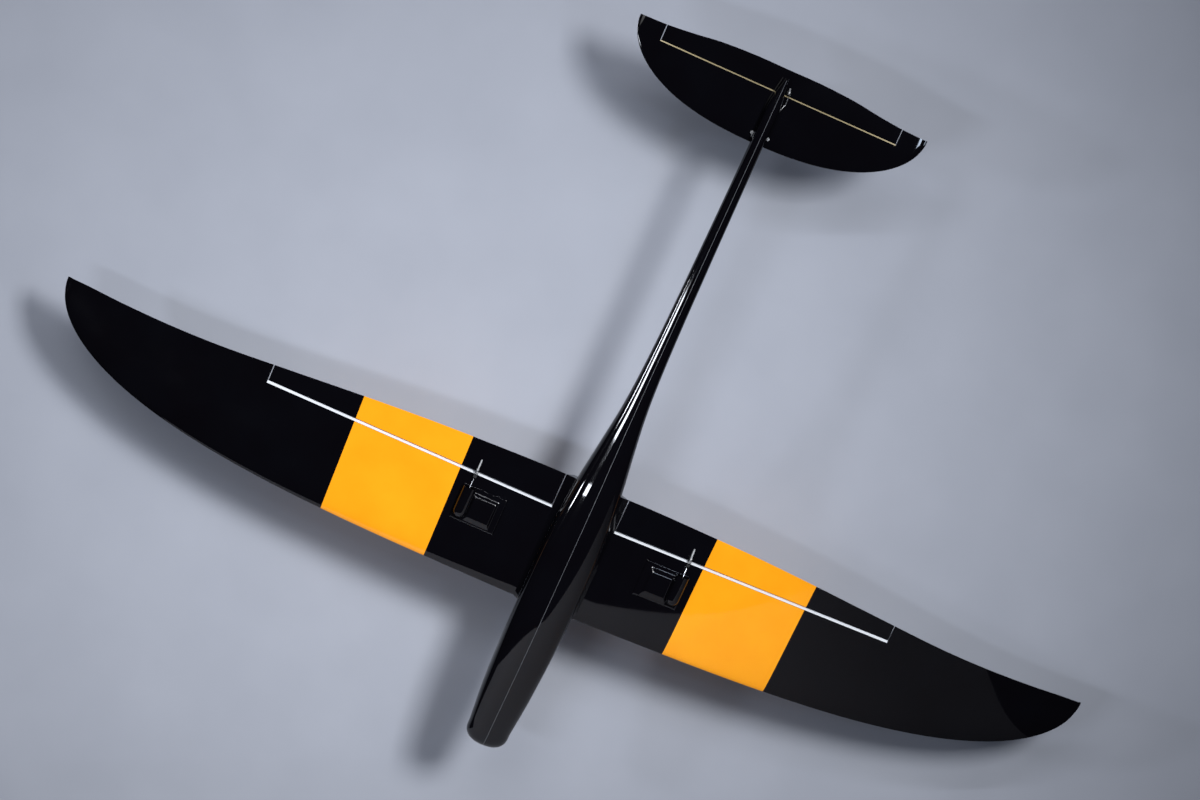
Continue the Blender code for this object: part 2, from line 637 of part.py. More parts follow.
horn_outline = [(1.6, -3.5), (9.6, -3.3), (8.4, -5.6), (6.9, -9.2), (6.0, -10.5), (4.4, -10.8),
                (3.1, -9.6), (2.6, -6.5)]
elevator_horn = piece("elevator_horn", spanwise(horn_outline, TAIL_LINK_X - TAIL_HORN_HALF,
                      TAIL_LINK_X + TAIL_HORN_HALF),
                      TAIL_FRAME, NYLON, 0.45)
elevator_horn_hole = piece("elevator_horn_hole", pin((TAIL_LINK_X - 3, *TAIL_HORN),
                           (TAIL_LINK_X + 3, *TAIL_HORN), PIN_HOLE), TAIL_FRAME)
boolean(elevator_horn, "DIFFERENCE", elevator_horn_hole)

fin_rings = []
for i in range(9):
    rise = i / 8
    lead = -86 + 52 * rise + 10 * rise**6
    trail = -2.5 + 14 * rise - 6 * rise**6
    fin_rings.append([(z, y, -6 + FIN_HEIGHT * rise) for _, y, z in
                      foil_ring(0, lead, trail, 0.065, 0.0, steps=8)])
fin_mesh = loft([[(x - sum(p[0] for p in ring) / len(ring), y, z) for x, y, z in ring]
                 for ring in fin_rings])
fin = piece("fin", fin_mesh, TAIL_FRAME, BLACK_GEL, 0.08)
foot = piece("fin_foot", block((-FIN_FOOT_HALF, -57, -1.5), (FIN_FOOT_HALF, -12, 2.2), 0.4), TAIL_FRAME)
tail_clearance = piece("tail_clearance", tail_solid(2 * GAP), TAIL_FRAME)
screw_bores = [piece("screw_bore", pin((x, SCREW_Y, -20), (x, SCREW_Y, 1.6), SCREW_RADIUS + GAP), TAIL_FRAME)
               for x in (SCREW_X, -SCREW_X)]
boolean(fin, "UNION", foot)
under_tail = far_box((-30, TAIL_HINGE_Y - 56, 0), (30, 700, TAIL_HINGE_Z - 1.5))
boolean(fin, "DIFFERENCE", tail_clearance, pod_clearance, under_tail, *screw_bores)
boolean(stabiliser, "DIFFERENCE", *screw_bores)
for word, x in (("left", SCREW_X), ("right", -SCREW_X)):
    screw = piece("tail_screw_" + word, pin((x, SCREW_Y, -5.4), (x, SCREW_Y, 1.2), SCREW_RADIUS),
                  TAIL_FRAME,
                  STEEL, 0.3, 1.0)
    head = piece("screw_head", pin((x, SCREW_Y, -6.0), (x, SCREW_Y, -4.6), SCREW_HEAD_RADIUS, 16),
                 TAIL_FRAME)
    boolean(screw, "UNION", head)


# ---------------------------------------------------------------- inside the pod
ballast_rings = [pod_ring(y, WALL + 2 * GAP, 16) for y in BALLAST_Y]
piece("nose_ballast", loft(ballast_rings), DESIGN_FRAME, LEAD, 0.6, 0.9)
piece("battery_pack", block(BATTERY_LOW, BATTERY_HIGH, 2.0), DESIGN_FRAME, WRAP, 0.35)
piece("receiver", block(RECEIVER_LOW, RECEIVER_HIGH, 1.0), DESIGN_FRAME, CIRCUIT_CASE, 0.4)

tray = piece("servo_tray", block(TRAY_LOW, TRAY_HIGH), DESIGN_FRAME, PLYWOOD, 0.7)
arm_slot = far_box((-8, -62, 8), (0.6, -10, 20))
boolean(tray, "DIFFERENCE", arm_slot)
elevator_servo = piece("elevator_servo", block(TAIL_SERVO_LOW, TAIL_SERVO_HIGH, 0.5), DESIGN_FRAME,
                       SERVO_BLUE, 0.35)
elevator_lugs = piece("elevator_servo_lugs", block((7, -62.6, 14.3), (8.6, -30.4, 26)), DESIGN_FRAME)
elevator_neck = piece("elevator_servo_neck", pin((-0.2, *TAIL_SHAFT), (3, *TAIL_SHAFT),
                      SERVO_NECK_RADIUS, 16), DESIGN_FRAME)
boolean(elevator_servo, "UNION", elevator_lugs, elevator_neck)
make_arm("elevator_servo_arm", DESIGN_FRAME, (0, *TAIL_SHAFT), -0.5, -3.0,
         Vector((0, *TAIL_HORN)), 1)

start_y, start_z = TAIL_SHAFT[0] + TAIL_HORN[0], TAIL_SHAFT[1] + TAIL_HORN[1]
end_y, end_z = TAIL_HINGE_Y + TAIL_HORN[0] - start_y, TAIL_HINGE_Z + TAIL_HORN[1] - start_z
rod_line = [(-1.0, 0, 0), (-4.6, 0, 0)]
bends = [(TAIL_ROD_STRAIGHT_Y[0], TAIL_ROD_X), (TAIL_ROD_STRAIGHT_Y[1], TAIL_ROD_X),
         (TAIL_ROD_OUT_Y, TAIL_LINK_X - 1.8)]
for bend_y, x in bends:
    rod_line.append((x, bend_y - start_y, end_z * (bend_y - start_y) / end_y))
rod_line += [(TAIL_LINK_X - 1.8, end_y, end_z), (TAIL_LINK_X + 1.6, end_y, end_z)]
wire("elevator_pushrod", rod_line, TAIL_WIRE_RADIUS, DESIGN_FRAME, STEEL, 0.3, 1.0, at=(0, start_y, start_z))
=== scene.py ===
# %% [markdown]
# # A moulded model glider, belly up
# The glider is a moulded composite aircraft of 1.25 m span: a pod and boom in two halves, two
# wing panels with flaperons, a flat tailplane with an elevator, and a fin. The engineering model
# has the right sizes, but it is made of flat facets. A gloss black skin shows every facet in its
# reflections, so this lesson lofts the skins again, finely, from the same shape rules.

# %% Load the frame
import math

import bmesh
import bpy
from mathutils import Matrix, Vector


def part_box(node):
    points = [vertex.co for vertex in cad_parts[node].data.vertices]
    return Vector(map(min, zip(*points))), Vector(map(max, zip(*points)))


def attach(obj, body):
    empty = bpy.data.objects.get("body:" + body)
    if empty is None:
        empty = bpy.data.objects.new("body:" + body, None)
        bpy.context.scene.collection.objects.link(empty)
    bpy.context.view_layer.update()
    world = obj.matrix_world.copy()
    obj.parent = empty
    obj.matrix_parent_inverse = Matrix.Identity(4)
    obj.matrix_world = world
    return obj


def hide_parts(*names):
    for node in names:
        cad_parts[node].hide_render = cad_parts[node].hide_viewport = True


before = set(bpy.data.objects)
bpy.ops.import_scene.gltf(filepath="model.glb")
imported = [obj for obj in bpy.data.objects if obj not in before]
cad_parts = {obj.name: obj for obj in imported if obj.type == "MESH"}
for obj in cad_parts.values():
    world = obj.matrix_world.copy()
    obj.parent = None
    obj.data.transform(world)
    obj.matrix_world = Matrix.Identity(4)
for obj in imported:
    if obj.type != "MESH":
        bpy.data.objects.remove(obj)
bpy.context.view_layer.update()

# %% [markdown]
# ## Where the camera stands
# The glider is looked at from below, so that its belly, servo covers and linkages show. The
# camera is placed in the words of a studio: the point it looks at, how far off it stands, the
# direction and the lean. A long lens from three metres off keeps both wings nearly the same size.

# %% Camera
MM = 0.001
AIM = Vector((0.038, -0.002, 0.030))
CAMERA_DISTANCE = 2.978
CAMERA_AZIMUTH = math.radians(142.3)
CAMERA_ELEVATION = math.radians(-77.93)
CAMERA_LEAN = math.radians(-13.98)
LENS_MM, FARTHEST = 81.0, 50.0


def direction(azimuth, elevation):
    """The way from the glider to a place at that azimuth and elevation."""
    flat = math.cos(elevation)
    return Vector((math.sin(azimuth) * flat, -math.cos(azimuth) * flat, math.sin(elevation)))


away = direction(CAMERA_AZIMUTH, CAMERA_ELEVATION)
turn = away.to_track_quat("Z", "Y").to_matrix().to_4x4() @ Matrix.Rotation(CAMERA_LEAN, 4, "Z")
camera_data = bpy.data.cameras.new("camera")
camera_data.lens = LENS_MM
camera_data.clip_end = FARTHEST
camera = bpy.data.objects.new("camera", camera_data)
bpy.context.scene.collection.objects.link(camera)
camera.matrix_world = Matrix.Translation(AIM + away * CAMERA_DISTANCE) @ turn
bpy.context.scene.camera = camera
IMAGE_RIGHT, IMAGE_UP, IMAGE_BACK = (turn.col[i].to_3d() for i in range(3))
print("camera stands", round(CAMERA_DISTANCE, 2), "m off, with a lens of", LENS_MM, "mm")

# %% [markdown]
# ## Shape helpers
# Every skin is a loft: rings of points laid one after another and joined by quads. A panel's
# points are made in its own axes, with zero on the hinge line, and the finished object is then
# turned to its dihedral. Places are in millimetres until a mesh is finished.

# %% Smooth lines through a few points
def along(knots, x):
    """The value at x of the smooth line through (x, value) knots."""
    if x <= knots[0][0]:
        return knots[0][1]
    if x >= knots[-1][0]:
        return knots[-1][1]
    i = next(k for k in range(len(knots) - 1) if x <= knots[k + 1][0])

    def slope(k):
        before, after = knots[max(k - 1, 0)], knots[min(k + 1, len(knots) - 1)]
        return (after[1] - before[1]) / (after[0] - before[0])

    (x0, y0), (x1, y1) = knots[i], knots[i + 1]
    run = x1 - x0
    t = (x - x0) / run
    return ((2 * t**3 - 3 * t**2 + 1) * y0 + (t**3 - 2 * t**2 + t) * run * slope(i)
            + (3 * t**2 - 2 * t**3) * y1 + (t**3 - t**2) * run * slope(i + 1))


# %% Lofts and blocks
def loft(rings):
    """A closed skin over rings of equal length, capped at both ends."""
    mesh = bmesh.new()
    loops = [[mesh.verts.new(point) for point in ring] for ring in rings]
    for first, second in zip(loops, loops[1:]):
        for i in range(len(first)):
            j = (i + 1) % len(first)
            mesh.faces.new((first[i], first[j], second[j], second[i]))
    mesh.faces.new(loops[0])
    mesh.faces.new(loops[-1])
    return mesh


def spanwise(outline, low, high):
    """A prism along X from (y, z) points."""
    return loft([[(x, y, z) for y, z in outline] for x in (low, high)])


def block(low, high):
    """A box between two corners, as a tool for cutting."""
    (x0, y0, z0), (x1, y1, z1) = low, high
    return spanwise([(y0, z0), (y1, z0), (y1, z1), (y0, z1)], x0, x1)


# %% Objects, and cutting one with another
def make(name, mesh, place, side=1):
    """Turns a bmesh in millimetres into an object in the axes that place gives."""
    bmesh.ops.scale(mesh, vec=(side * MM, MM, MM), verts=mesh.verts)
    bmesh.ops.recalc_face_normals(mesh, faces=mesh.faces)
    data = bpy.data.meshes.new(name)
    mesh.to_mesh(data)
    mesh.free()
    made = bpy.data.objects.new(name, data)
    bpy.context.scene.collection.objects.link(made)
    made.matrix_world = place
    return made


def settle(piece, sharp=30.0):
    """Applies a piece's modifiers and shades it smooth, apart from its real edges."""
    bpy.context.view_layer.update()
    depsgraph = bpy.context.evaluated_depsgraph_get()
    data = bpy.data.meshes.new_from_object(piece.evaluated_get(depsgraph))
    piece.modifiers.clear()
    piece.data = data
    data.shade_smooth()
    data.set_sharp_from_angle(angle=math.radians(sharp))
    return piece


def carve(piece, operation, *tools):
    """Cuts, joins or crosses the piece with each tool, and keeps the result."""
    for tool in tools:
        step = piece.modifiers.new(tool.name, "BOOLEAN")
        step.operation = operation
        step.solver = "EXACT"
        step.object = tool
    return settle(piece)


def discard(*tools):
    """Takes away the tools that have done their cutting."""
    for tool in tools:
        bpy.data.objects.remove(tool, do_unlink=True)


# %% [markdown]
# ## Material helpers
# The colours are the ones a paint card would give, as hex values, which Blender needs as linear
# light. A node is always added the same way: its kind, its settings, and what feeds its inputs.

# %% Colours and nodes
def srgb(code):
    """A hex colour as linear red, green, blue and alpha."""
    shares = [int(code[i:i + 2], 16) / 255 for i in (1, 3, 5)]
    return (*[s / 12.92 if s <= 0.04045 else ((s + 0.055) / 1.055) ** 2.4 for s in shares], 1.0)


def add(tree, kind, inputs=None, **settings):
    """Adds a node with its settings; each input takes a value or the socket that feeds it."""
    made = tree.nodes.new("ShaderNode" + kind)
    for name, value in settings.items():
        setattr(made, name, value)
    for name, value in (inputs or {}).items():
        if isinstance(value, bpy.types.NodeSocket):
            tree.links.new(value, made.inputs[name])
        else:
            made.inputs[name].default_value = value
    return made


def surface(name, colour, roughness, metallic=0.0, ior=None):
    """A material with its tree, its shader and the object's own coordinates in metres."""
    material = bpy.data.materials.new(name)
    material.use_nodes = True
    tree = material.node_tree
    shader = tree.nodes["Principled BSDF"]
    shader.inputs["Base Color"].default_value = srgb(colour)
    shader.inputs["Roughness"].default_value = roughness
    shader.inputs["Metallic"].default_value = metallic
    if ior:
        shader.inputs["IOR"].default_value = ior
    here = add(tree, "TexCoord").outputs["Object"]
    return material, tree, shader, here


def uneven(tree, here, size_mm, low, high, detail=3.0):
    """A cloudy value between low and high, in patches of about size_mm."""
    cloud = add(tree, "TexNoise", {"Vector": here, "Scale": 1 / (size_mm * MM), "Detail": detail})
    spread = add(tree, "MapRange", {"Value": cloud.outputs["Fac"], "From Min": 0.3, "From Max": 0.7,
                                    "To Min": low, "To Max": high})
    return spread.outputs["Result"]


def relief(tree, shader, height, depth_mm, strength=1.0):
    """Raises the surface by the height value, depth_mm from low to high."""
    bump = add(tree, "Bump", {"Height": height, "Distance": depth_mm * MM, "Strength": strength})
    tree.links.new(bump.outputs["Normal"], shader.inputs["Normal"])


# %% [markdown]
# ## Black gelcoat
# The skin is polyester gelcoat, sprayed into a waxed and polished mould before the cloth is laid
# in. It comes out as glossy as the mould, so roughness is near that of glass. What keeps it from
# looking like glass is a very slight print-through of the cloth, some millimetres wide, and a
# haze of handling. The coloured band is sprayed into the mould too, so it has no edge to feel.

# %% Black gelcoat, with or without the coloured band
BLACK = "#060508"
BAND_YELLOW = "#FFA81B"
BAND_DEEP = "#FB9F16"
BAND_INNER = (148.2, 0.020)
BAND_OUTER = (275.9, 0.036)
HAZE_MM, PRINT_THROUGH_MM, SHADE_MM = 45, 9, 60


def band_mask(tree, here):
    """1 inside the band: between two lines across the chord, on either wing."""
    axes = add(tree, "SeparateXYZ", {"Vector": here})
    span = add(tree, "Math", {0: axes.outputs["X"]}, operation="ABSOLUTE").outputs[0]
    sides = []
    for (place, rake), test in ((BAND_INNER, "GREATER_THAN"), (BAND_OUTER, "LESS_THAN")):
        line = add(tree, "Math", {0: axes.outputs["Y"], 1: rake, 2: place * MM},
                   operation="MULTIPLY_ADD")
        sides.append(add(tree, "Math", {0: span, 1: line.outputs[0]}, operation=test).outputs[0])
    return add(tree, "Math", {0: sides[0], 1: sides[1]}, operation="MULTIPLY").outputs[0]


def black_gelcoat(name, band=False):
    """Polished gelcoat: a deep black gloss with a trace of the cloth below."""
    material, tree, shader, here = surface(name, BLACK, 0.04, ior=1.5)
    haze = uneven(tree, here, HAZE_MM, 0.03, 0.055)
    tree.links.new(haze, shader.inputs["Roughness"])
    ripple = uneven(tree, here, PRINT_THROUGH_MM, 0.0, 1.0, detail=1.0)
    relief(tree, shader, ripple, 0.004, 0.5)
    shade = uneven(tree, here, SHADE_MM, 0.0, 1.0)
    dark = add(tree, "Mix", {"Factor": shade, 6: srgb(BLACK), 7: srgb("#07070B")}, data_type="RGBA")
    colour = dark.outputs[2]
    if band:
        warm = add(tree, "Mix", {"Factor": shade, 6: srgb(BAND_YELLOW), 7: srgb(BAND_DEEP)},
                   data_type="RGBA")
        colour = add(tree, "Mix", {"Factor": band_mask(tree, here), 6: colour, 7: warm.outputs[2]},
                     data_type="RGBA").outputs[2]
    tree.links.new(colour, shader.inputs["Base Color"])
    return material


GELCOAT = black_gelcoat("black_gelcoat")
BANDED_GELCOAT = black_gelcoat("black_gelcoat_with_band", band=True)
print("gelcoat made, with a band from", BAND_INNER[0], "to", BAND_OUTER[0], "mm out")

# %% [markdown]
# ## Hinge strips
# The hinge strips are woven polyester, white on the wing and undyed on the tail: matt, with
# threads. A thread spacing of 0.35 mm is too fine to show from here, so it is drawn at 0.9 mm.
# They could be modelled, but two crossed waves in the colour and the relief look the same from
# here. A wave pattern of scale 1 has about 3.2 waves to the metre.

# %% Woven strip
WEAVE_MM = 0.9
WAVES_AT_ONE = 3.2


def woven(name, colour, thread, roughness):
    """Cloth tape: two sets of threads that cross, one along and one across."""
    material, tree, shader, here = surface(name, colour, roughness)
    waves = [add(tree, "TexWave", {"Vector": here, "Scale": 1 / (WEAVE_MM * MM) / WAVES_AT_ONE},
                 bands_direction=axis).outputs["Fac"] for axis in ("X", "Y")]
    cloth = add(tree, "Math", {0: waves[0], 1: waves[1]}, operation="MULTIPLY").outputs[0]
    mixed = add(tree, "Mix", {"Factor": cloth, 6: srgb(thread), 7: srgb(colour)}, data_type="RGBA")
    tree.links.new(mixed.outputs[2], shader.inputs["Base Color"])
    relief(tree, shader, cloth, 0.06, 0.5)
    return material


WHITE_STRIP = woven("white_woven_polyester", "#F4F6FA", "#D9DEE6", 0.55)
BEIGE_STRIP = woven("undyed_woven_polyester", "#C9BC98", "#A0926E", 0.6)
print("two woven strips made, with threads", WEAVE_MM, "mm apart")

# %% [markdown]
# ## Plastics, metals, carbon, wood and lead
# The steel wire is drawn through a die, which leaves fine lines along it. The servo cases, arms
# and links are injection-moulded nylon, with a faint sparkle of mould texture. Inside, where a
# lifted canopy shows them, are a carbon rod, a plywood tray, cast lead and a shrunk sleeve. Each
# could be a plain colour, but a worn or grained surface is what tells one from the other.


# %% Moulded, cast, drawn and pultruded finishes
PATCH_MM, SHEEN_MM, SHEEN_RANGE = 6, 3, 0.06


def moulded(name, colour, other, roughness, grain_mm=0.5, depth_mm=0.02):
    """Injection-moulded plastic: an even colour under a fine mould texture."""
    material, tree, shader, here = surface(name, colour, roughness, ior=1.46)
    patch = uneven(tree, here, PATCH_MM, 0.0, 1.0)
    mixed = add(tree, "Mix", {"Factor": patch, 6: srgb(colour), 7: srgb(other)}, data_type="RGBA")
    tree.links.new(mixed.outputs[2], shader.inputs["Base Color"])
    sheen = uneven(tree, here, SHEEN_MM, roughness - SHEEN_RANGE, roughness + SHEEN_RANGE)
    tree.links.new(sheen, shader.inputs["Roughness"])
    relief(tree, shader, uneven(tree, here, grain_mm, 0.0, 1.0), depth_mm, 0.4)
    return material


def drawn_steel(name):
    """Spring steel wire: bright, with faint lines along its length."""
    material, tree, shader, here = surface(name, "#B4B6BA", 0.25, metallic=1.0)
    stretched = add(tree, "Mapping", {"Vector": here, "Scale": (1.0, 0.04, 1.0)}).outputs[0]
    tree.links.new(uneven(tree, stretched, 0.3, 0.16, 0.36), shader.inputs["Roughness"])
    return material


def carbon_rod(name):
    """Pultruded carbon: black resin with long fibres that catch the light along the rod."""
    material, tree, shader, here = surface(name, "#101114", 0.3, ior=1.55)
    fibres = add(tree, "Mapping", {"Vector": here, "Scale": (0.02, 1.0, 1.0)}).outputs[0]
    streak = uneven(tree, fibres, 0.25, 0.0, 1.0)
    mixed = add(tree, "Mix", {"Factor": streak, 6: srgb("#0B0C0E"), 7: srgb("#26282D")},
                data_type="RGBA")
    tree.links.new(mixed.outputs[2], shader.inputs["Base Color"])
    relief(tree, shader, streak, 0.02, 0.5)
    return material


def birch_ply(name):
    """Sanded birch plywood: pale, with darker growth lines along the grain."""
    material, tree, shader, here = surface(name, "#C9A36B", 0.62)
    grain = add(tree, "Mapping", {"Vector": here, "Scale": (1.0, 0.08, 1.0)}).outputs[0]
    mixed = add(tree, "Mix", {"Factor": uneven(tree, grain, 1.6, 0.0, 1.0, detail=6.0),
                              6: srgb("#D2AE78"), 7: srgb("#A97E4A")}, data_type="RGBA")
    tree.links.new(mixed.outputs[2], shader.inputs["Base Color"])
    relief(tree, shader, uneven(tree, grain, 0.8, 0.0, 1.0), 0.03, 0.4)
    return material


def cast_lead(name):
    """Lead poured into the nose: dull grey, dented and slightly blotched with oxide."""
    material, tree, shader, here = surface(name, "#6C6F73", 0.55, metallic=1.0)
    mixed = add(tree, "Mix", {"Factor": uneven(tree, here, 5, 0.0, 1.0), 6: srgb("#7A7D81"),
                              7: srgb("#55585C")}, data_type="RGBA")
    tree.links.new(mixed.outputs[2], shader.inputs["Base Color"])
    relief(tree, shader, uneven(tree, here, 2, 0.0, 1.0), 0.15, 0.6)
    return material


STEEL = drawn_steel("drawn_spring_steel")
NYLON = moulded("moulded_grey_nylon", "#9EA0A3", "#8C8E92", 0.34)
BLACK_NYLON = moulded("moulded_black_nylon", "#17181B", "#101114", 0.34)
SERVO_CASE = moulded("servo_case_nylon", "#26324A", "#202A40", 0.36)
CARBON = carbon_rod("pultruded_carbon")
PLYWOOD = birch_ply("birch_plywood")
BALLAST_LEAD = cast_lead("cast_lead")
SLEEVE = moulded("heat_shrink_sleeve", "#1F5FA8", "#1A5293", 0.3, grain_mm=2.5, depth_mm=0.1)
RECEIVER_CASE = moulded("receiver_case_abs", "#26272B", "#1E1F23", 0.42)
SEAM_RESIN = moulded("seam_resin", "#74777C", "#5C5F66", 0.22)
print("finishes:", STEEL.name, NYLON.name, CARBON.name, PLYWOOD.name, BALLAST_LEAD.name)

# %% [markdown]
# ## The pod and boom
# The real pod is laid up in two half moulds and joined along its middle, which leaves a fine pale
# line of resin. Its sections are superellipses, a little squarer than an ellipse. Each half could
# be a sculpted mesh, but a loft through a few driving knots keeps the reflections flowing.

# %% Pod dimensions
NOSE_Y, NOSE_CAP, BOOM_END, WALL, GAP = -226.0, 18.0, 593.0, 1.2, 0.3
HALF_WIDTH = [(-204, 24.6), (-160, 28.6), (-120, 30.6), (-70, 31.9), (0, 32), (50, 30.5), (85, 28),
              (110, 25.4), (150, 20), (190, 15), (230, 12.1), (290, 10), (370, 8.8), (450, 8),
              (540, 7.5), (562, 7.2), (593, 1.4)]
WIDEST = [(-204, 24.5), (-145, 21.5), (-115, 18.5), (-70, 15), (0, 14.5), (60, 16), (110, 17.5),
          (150, 17.8), (210, 15.8), (290, 13.2), (370, 11.4), (470, 9.8), (560, 9.2), (593, 5.2)]
BELLY = [(-204, 9.5), (-150, 4), (-115, 1.2), (-80, -0.4), (-50, -0.7), (50, -0.7), (90, 0.3),
         (130, 3), (170, 5), (230, 6.2), (290, 5.9), (370, 4.8), (450, 3.6), (530, 2.2), (593, 2)]
BACK = [(-204, 41), (-150, 50.5), (-100, 55.5), (-50, 58), (0, 57.5), (50, 53), (90, 46),
        (130, 38), (170, 32), (230, 26), (290, 22.5), (370, 19.9), (450, 18.2), (520, 17.1),
        (572, 16.2), (593, 8)]
POD_POWER, CAP_POWER = 2.25, 2.4
CANOPY_MIDDLE, CANOPY_HALF_LENGTH, CANOPY_HALF_WIDTH, CANOPY_POWER = -118.0, 62.0, 21.0, 2.6
CANOPY_ENDS, HATCH_LOW, CANOPY_LOW, HATCH_HIGH = (-195, -40), 20, 22, 90
INSIDE_ENDS = (NOSE_Y + 2.5, 570)
TAIL_SEAT = ((-30, 508, 16.3), (30, 700, 80))
ROD_EXIT = ((-14, 544, 8), (-3, 570, 15))
SEAM_HALF, THINNEST = GAP / 2, 0.15
POD_STEPS, CAP_STEPS, FIRST_STEP, LAST_STEP = 150, 24, 0.3, 1

POD_BOX = [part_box("fuselage_left_shell")[0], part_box("fuselage_right_shell")[1]]
DESIGN_Y = POD_BOX[0].y - NOSE_Y * MM
DESIGN = Matrix.Translation((0, DESIGN_Y, 0))
print("pod is", round((POD_BOX[1].y - POD_BOX[0].y) / MM, 1), "mm long")


# %% One section, and the solids made of them
def pod_section(y, inset):
    """Half width, rise and drop from the widest height, and that height."""
    cap = 1.0
    front = NOSE_Y + NOSE_CAP
    if y < front:
        cap = max(0.0, 1 - ((front - y) / NOSE_CAP) ** CAP_POWER) ** (1 / CAP_POWER)
    middle = along(WIDEST, y)
    half = max(along(HALF_WIDTH, y) * cap - inset, THINNEST)
    rise = max((along(BACK, y) - middle) * cap - inset, THINNEST)
    drop = max((middle - along(BELLY, y)) * cap - inset, THINNEST)
    return half, rise, drop, middle


def pod_point(y, inset, angle):
    """A point of the section at y: angle 0 is at the left side, a quarter turn is on top."""
    half, rise, drop, middle = pod_section(y, inset)
    c, s = math.cos(angle), math.sin(angle)
    x = half * math.copysign(abs(c) ** (2 / POD_POWER), c)
    z = math.copysign(abs(s) ** (2 / POD_POWER), s) * (rise if s > 0 else drop)
    return x, y, middle + z


def pod_stations(nose, tail, count):
    """Stations from nose to tail, closer together over the rounded nose."""
    front = NOSE_Y + NOSE_CAP
    cap = [front - NOSE_CAP * math.cos(math.pi / 2 * i / CAP_STEPS) for i in range(1, CAP_STEPS)]
    body = [front + (BOOM_END - front) * i / count for i in range(count + 1)]
    inner = [y for y in cap + body if nose + FIRST_STEP < y < tail - LAST_STEP]
    return [nose] + inner + [tail]


def pod_solid(inset, nose, tail, count=130, around=80):
    """The whole pod as one solid, made smaller all round by the inset."""
    angles = [2 * math.pi * (i + 0.5) / around for i in range(around)]
    stations = pod_stations(nose, tail, count)
    return loft([[pod_point(y, inset, angle) for angle in angles] for y in stations])


def pod_half(side, around=44):
    """One half of the pod: the outer skin from the belly seam up to the back seam."""
    rings = []
    for y in pod_stations(NOSE_Y, BOOM_END, POD_STEPS):
        ring = []
        for i in range(around + 1):
            x, _, z = pod_point(y, 0, -math.pi / 2 + math.pi * i / around)
            ring.append((side * max(x, SEAM_HALF), y, z))
        rings.append(ring)
    return loft(rings)


def oval(half_x, half_y, middle, power, low, high, count=72):
    """An upright prism with a superellipse outline."""
    outline = []
    for i in range(count):
        angle = 2 * math.pi * i / count
        c, s = math.cos(angle), math.sin(angle)
        outline.append((half_x * math.copysign(abs(c) ** (2 / power), c),
                        middle + half_y * math.copysign(abs(s) ** (2 / power), s)))
    return loft([[(x, y, z) for x, y in outline] for z in (low, high)])


# %% [markdown]
# ## Both halves and the canopy
# The real canopy is cut out of the moulded pod, so it has the pod's own curve. The same is done
# here: one upright oval cuts the opening, and a slightly smaller one keeps the canopy.

# %% Both halves and the canopy
pod_inside = make("pod_inside", pod_solid(WALL, *INSIDE_ENDS), DESIGN)
hatch_hole = make("hatch_hole", oval(CANOPY_HALF_WIDTH, CANOPY_HALF_LENGTH, CANOPY_MIDDLE,
                                     CANOPY_POWER, HATCH_LOW, HATCH_HIGH), DESIGN)
hatch_fill = make("hatch_fill", oval(CANOPY_HALF_WIDTH - GAP, CANOPY_HALF_LENGTH - GAP,
                                     CANOPY_MIDDLE, CANOPY_POWER, CANOPY_LOW, HATCH_HIGH), DESIGN)
tail_seat = make("tail_seat", block(*TAIL_SEAT), DESIGN)
rod_exit = make("rod_exit", block(*ROD_EXIT), DESIGN)

for word, side in (("left", 1), ("right", -1)):
    shell = make("pod_half_" + word, pod_half(side), DESIGN)
    holes = [pod_inside, hatch_hole, tail_seat] + ([rod_exit] if side < 0 else [])
    carve(shell, "DIFFERENCE", *holes)
    shell.data.materials.append(GELCOAT)
    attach(shell, "airframe")
    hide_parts(f"fuselage_{word}_shell")
    print(shell.name, len(shell.data.polygons), "faces")

canopy = make("canopy_skin", pod_solid(0, *CANOPY_ENDS, count=420), DESIGN)
carve(canopy, "DIFFERENCE", pod_inside)
carve(canopy, "INTERSECT", hatch_fill)
canopy.data.materials.append(GELCOAT)
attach(canopy, "canopy")
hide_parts("canopy")
discard(hatch_hole, hatch_fill, tail_seat, rod_exit)


# %% [markdown]
# ## The seam
# Resin squeezes out where the two halves meet, and is sanded back until it is a fine pale line.
# A painted line would do from far off. A thin bead laid in the gap catches the light as it does.

# %% Resin beads along the belly and the back
BEAD_ENDS, BEAD_SUNK = (NOSE_Y + 0.6, BOOM_END - 2), 0.55


def as_mesh(made):
    """Turns a curve object into a mesh object of the same name and place."""
    bpy.context.view_layer.update()
    depsgraph = bpy.context.evaluated_depsgraph_get()
    data = bpy.data.meshes.new_from_object(made.evaluated_get(depsgraph))
    name, place = made.name, made.matrix_world.copy()
    bpy.data.objects.remove(made, do_unlink=True)
    solid = bpy.data.objects.new(name, data)
    bpy.context.scene.collection.objects.link(solid)
    solid.matrix_world = place
    data.shade_smooth()
    return solid


def bead(name, angle, first, last, radius=0.22):
    """A round bead along a pod line, set into the gap so that it barely stands out."""
    curve = bpy.data.curves.new(name, "CURVE")
    curve.dimensions = "3D"
    curve.bevel_depth = radius * MM
    curve.bevel_resolution = 3
    curve.use_fill_caps = True
    spline = curve.splines.new("POLY")
    stations = [y for y in pod_stations(*BEAD_ENDS, POD_STEPS) if first <= y <= last]
    spline.points.add(len(stations) - 1)
    for target, y in zip(spline.points, stations):
        target.co = (0, y * MM, pod_point(y, radius * BEAD_SUNK, angle)[2] * MM, 1)
    made = bpy.data.objects.new(name, curve)
    bpy.context.scene.collection.objects.link(made)
    made.matrix_world = DESIGN
    made = as_mesh(made)
    made.data.materials.append(SEAM_RESIN)
    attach(made, "airframe")
    return made


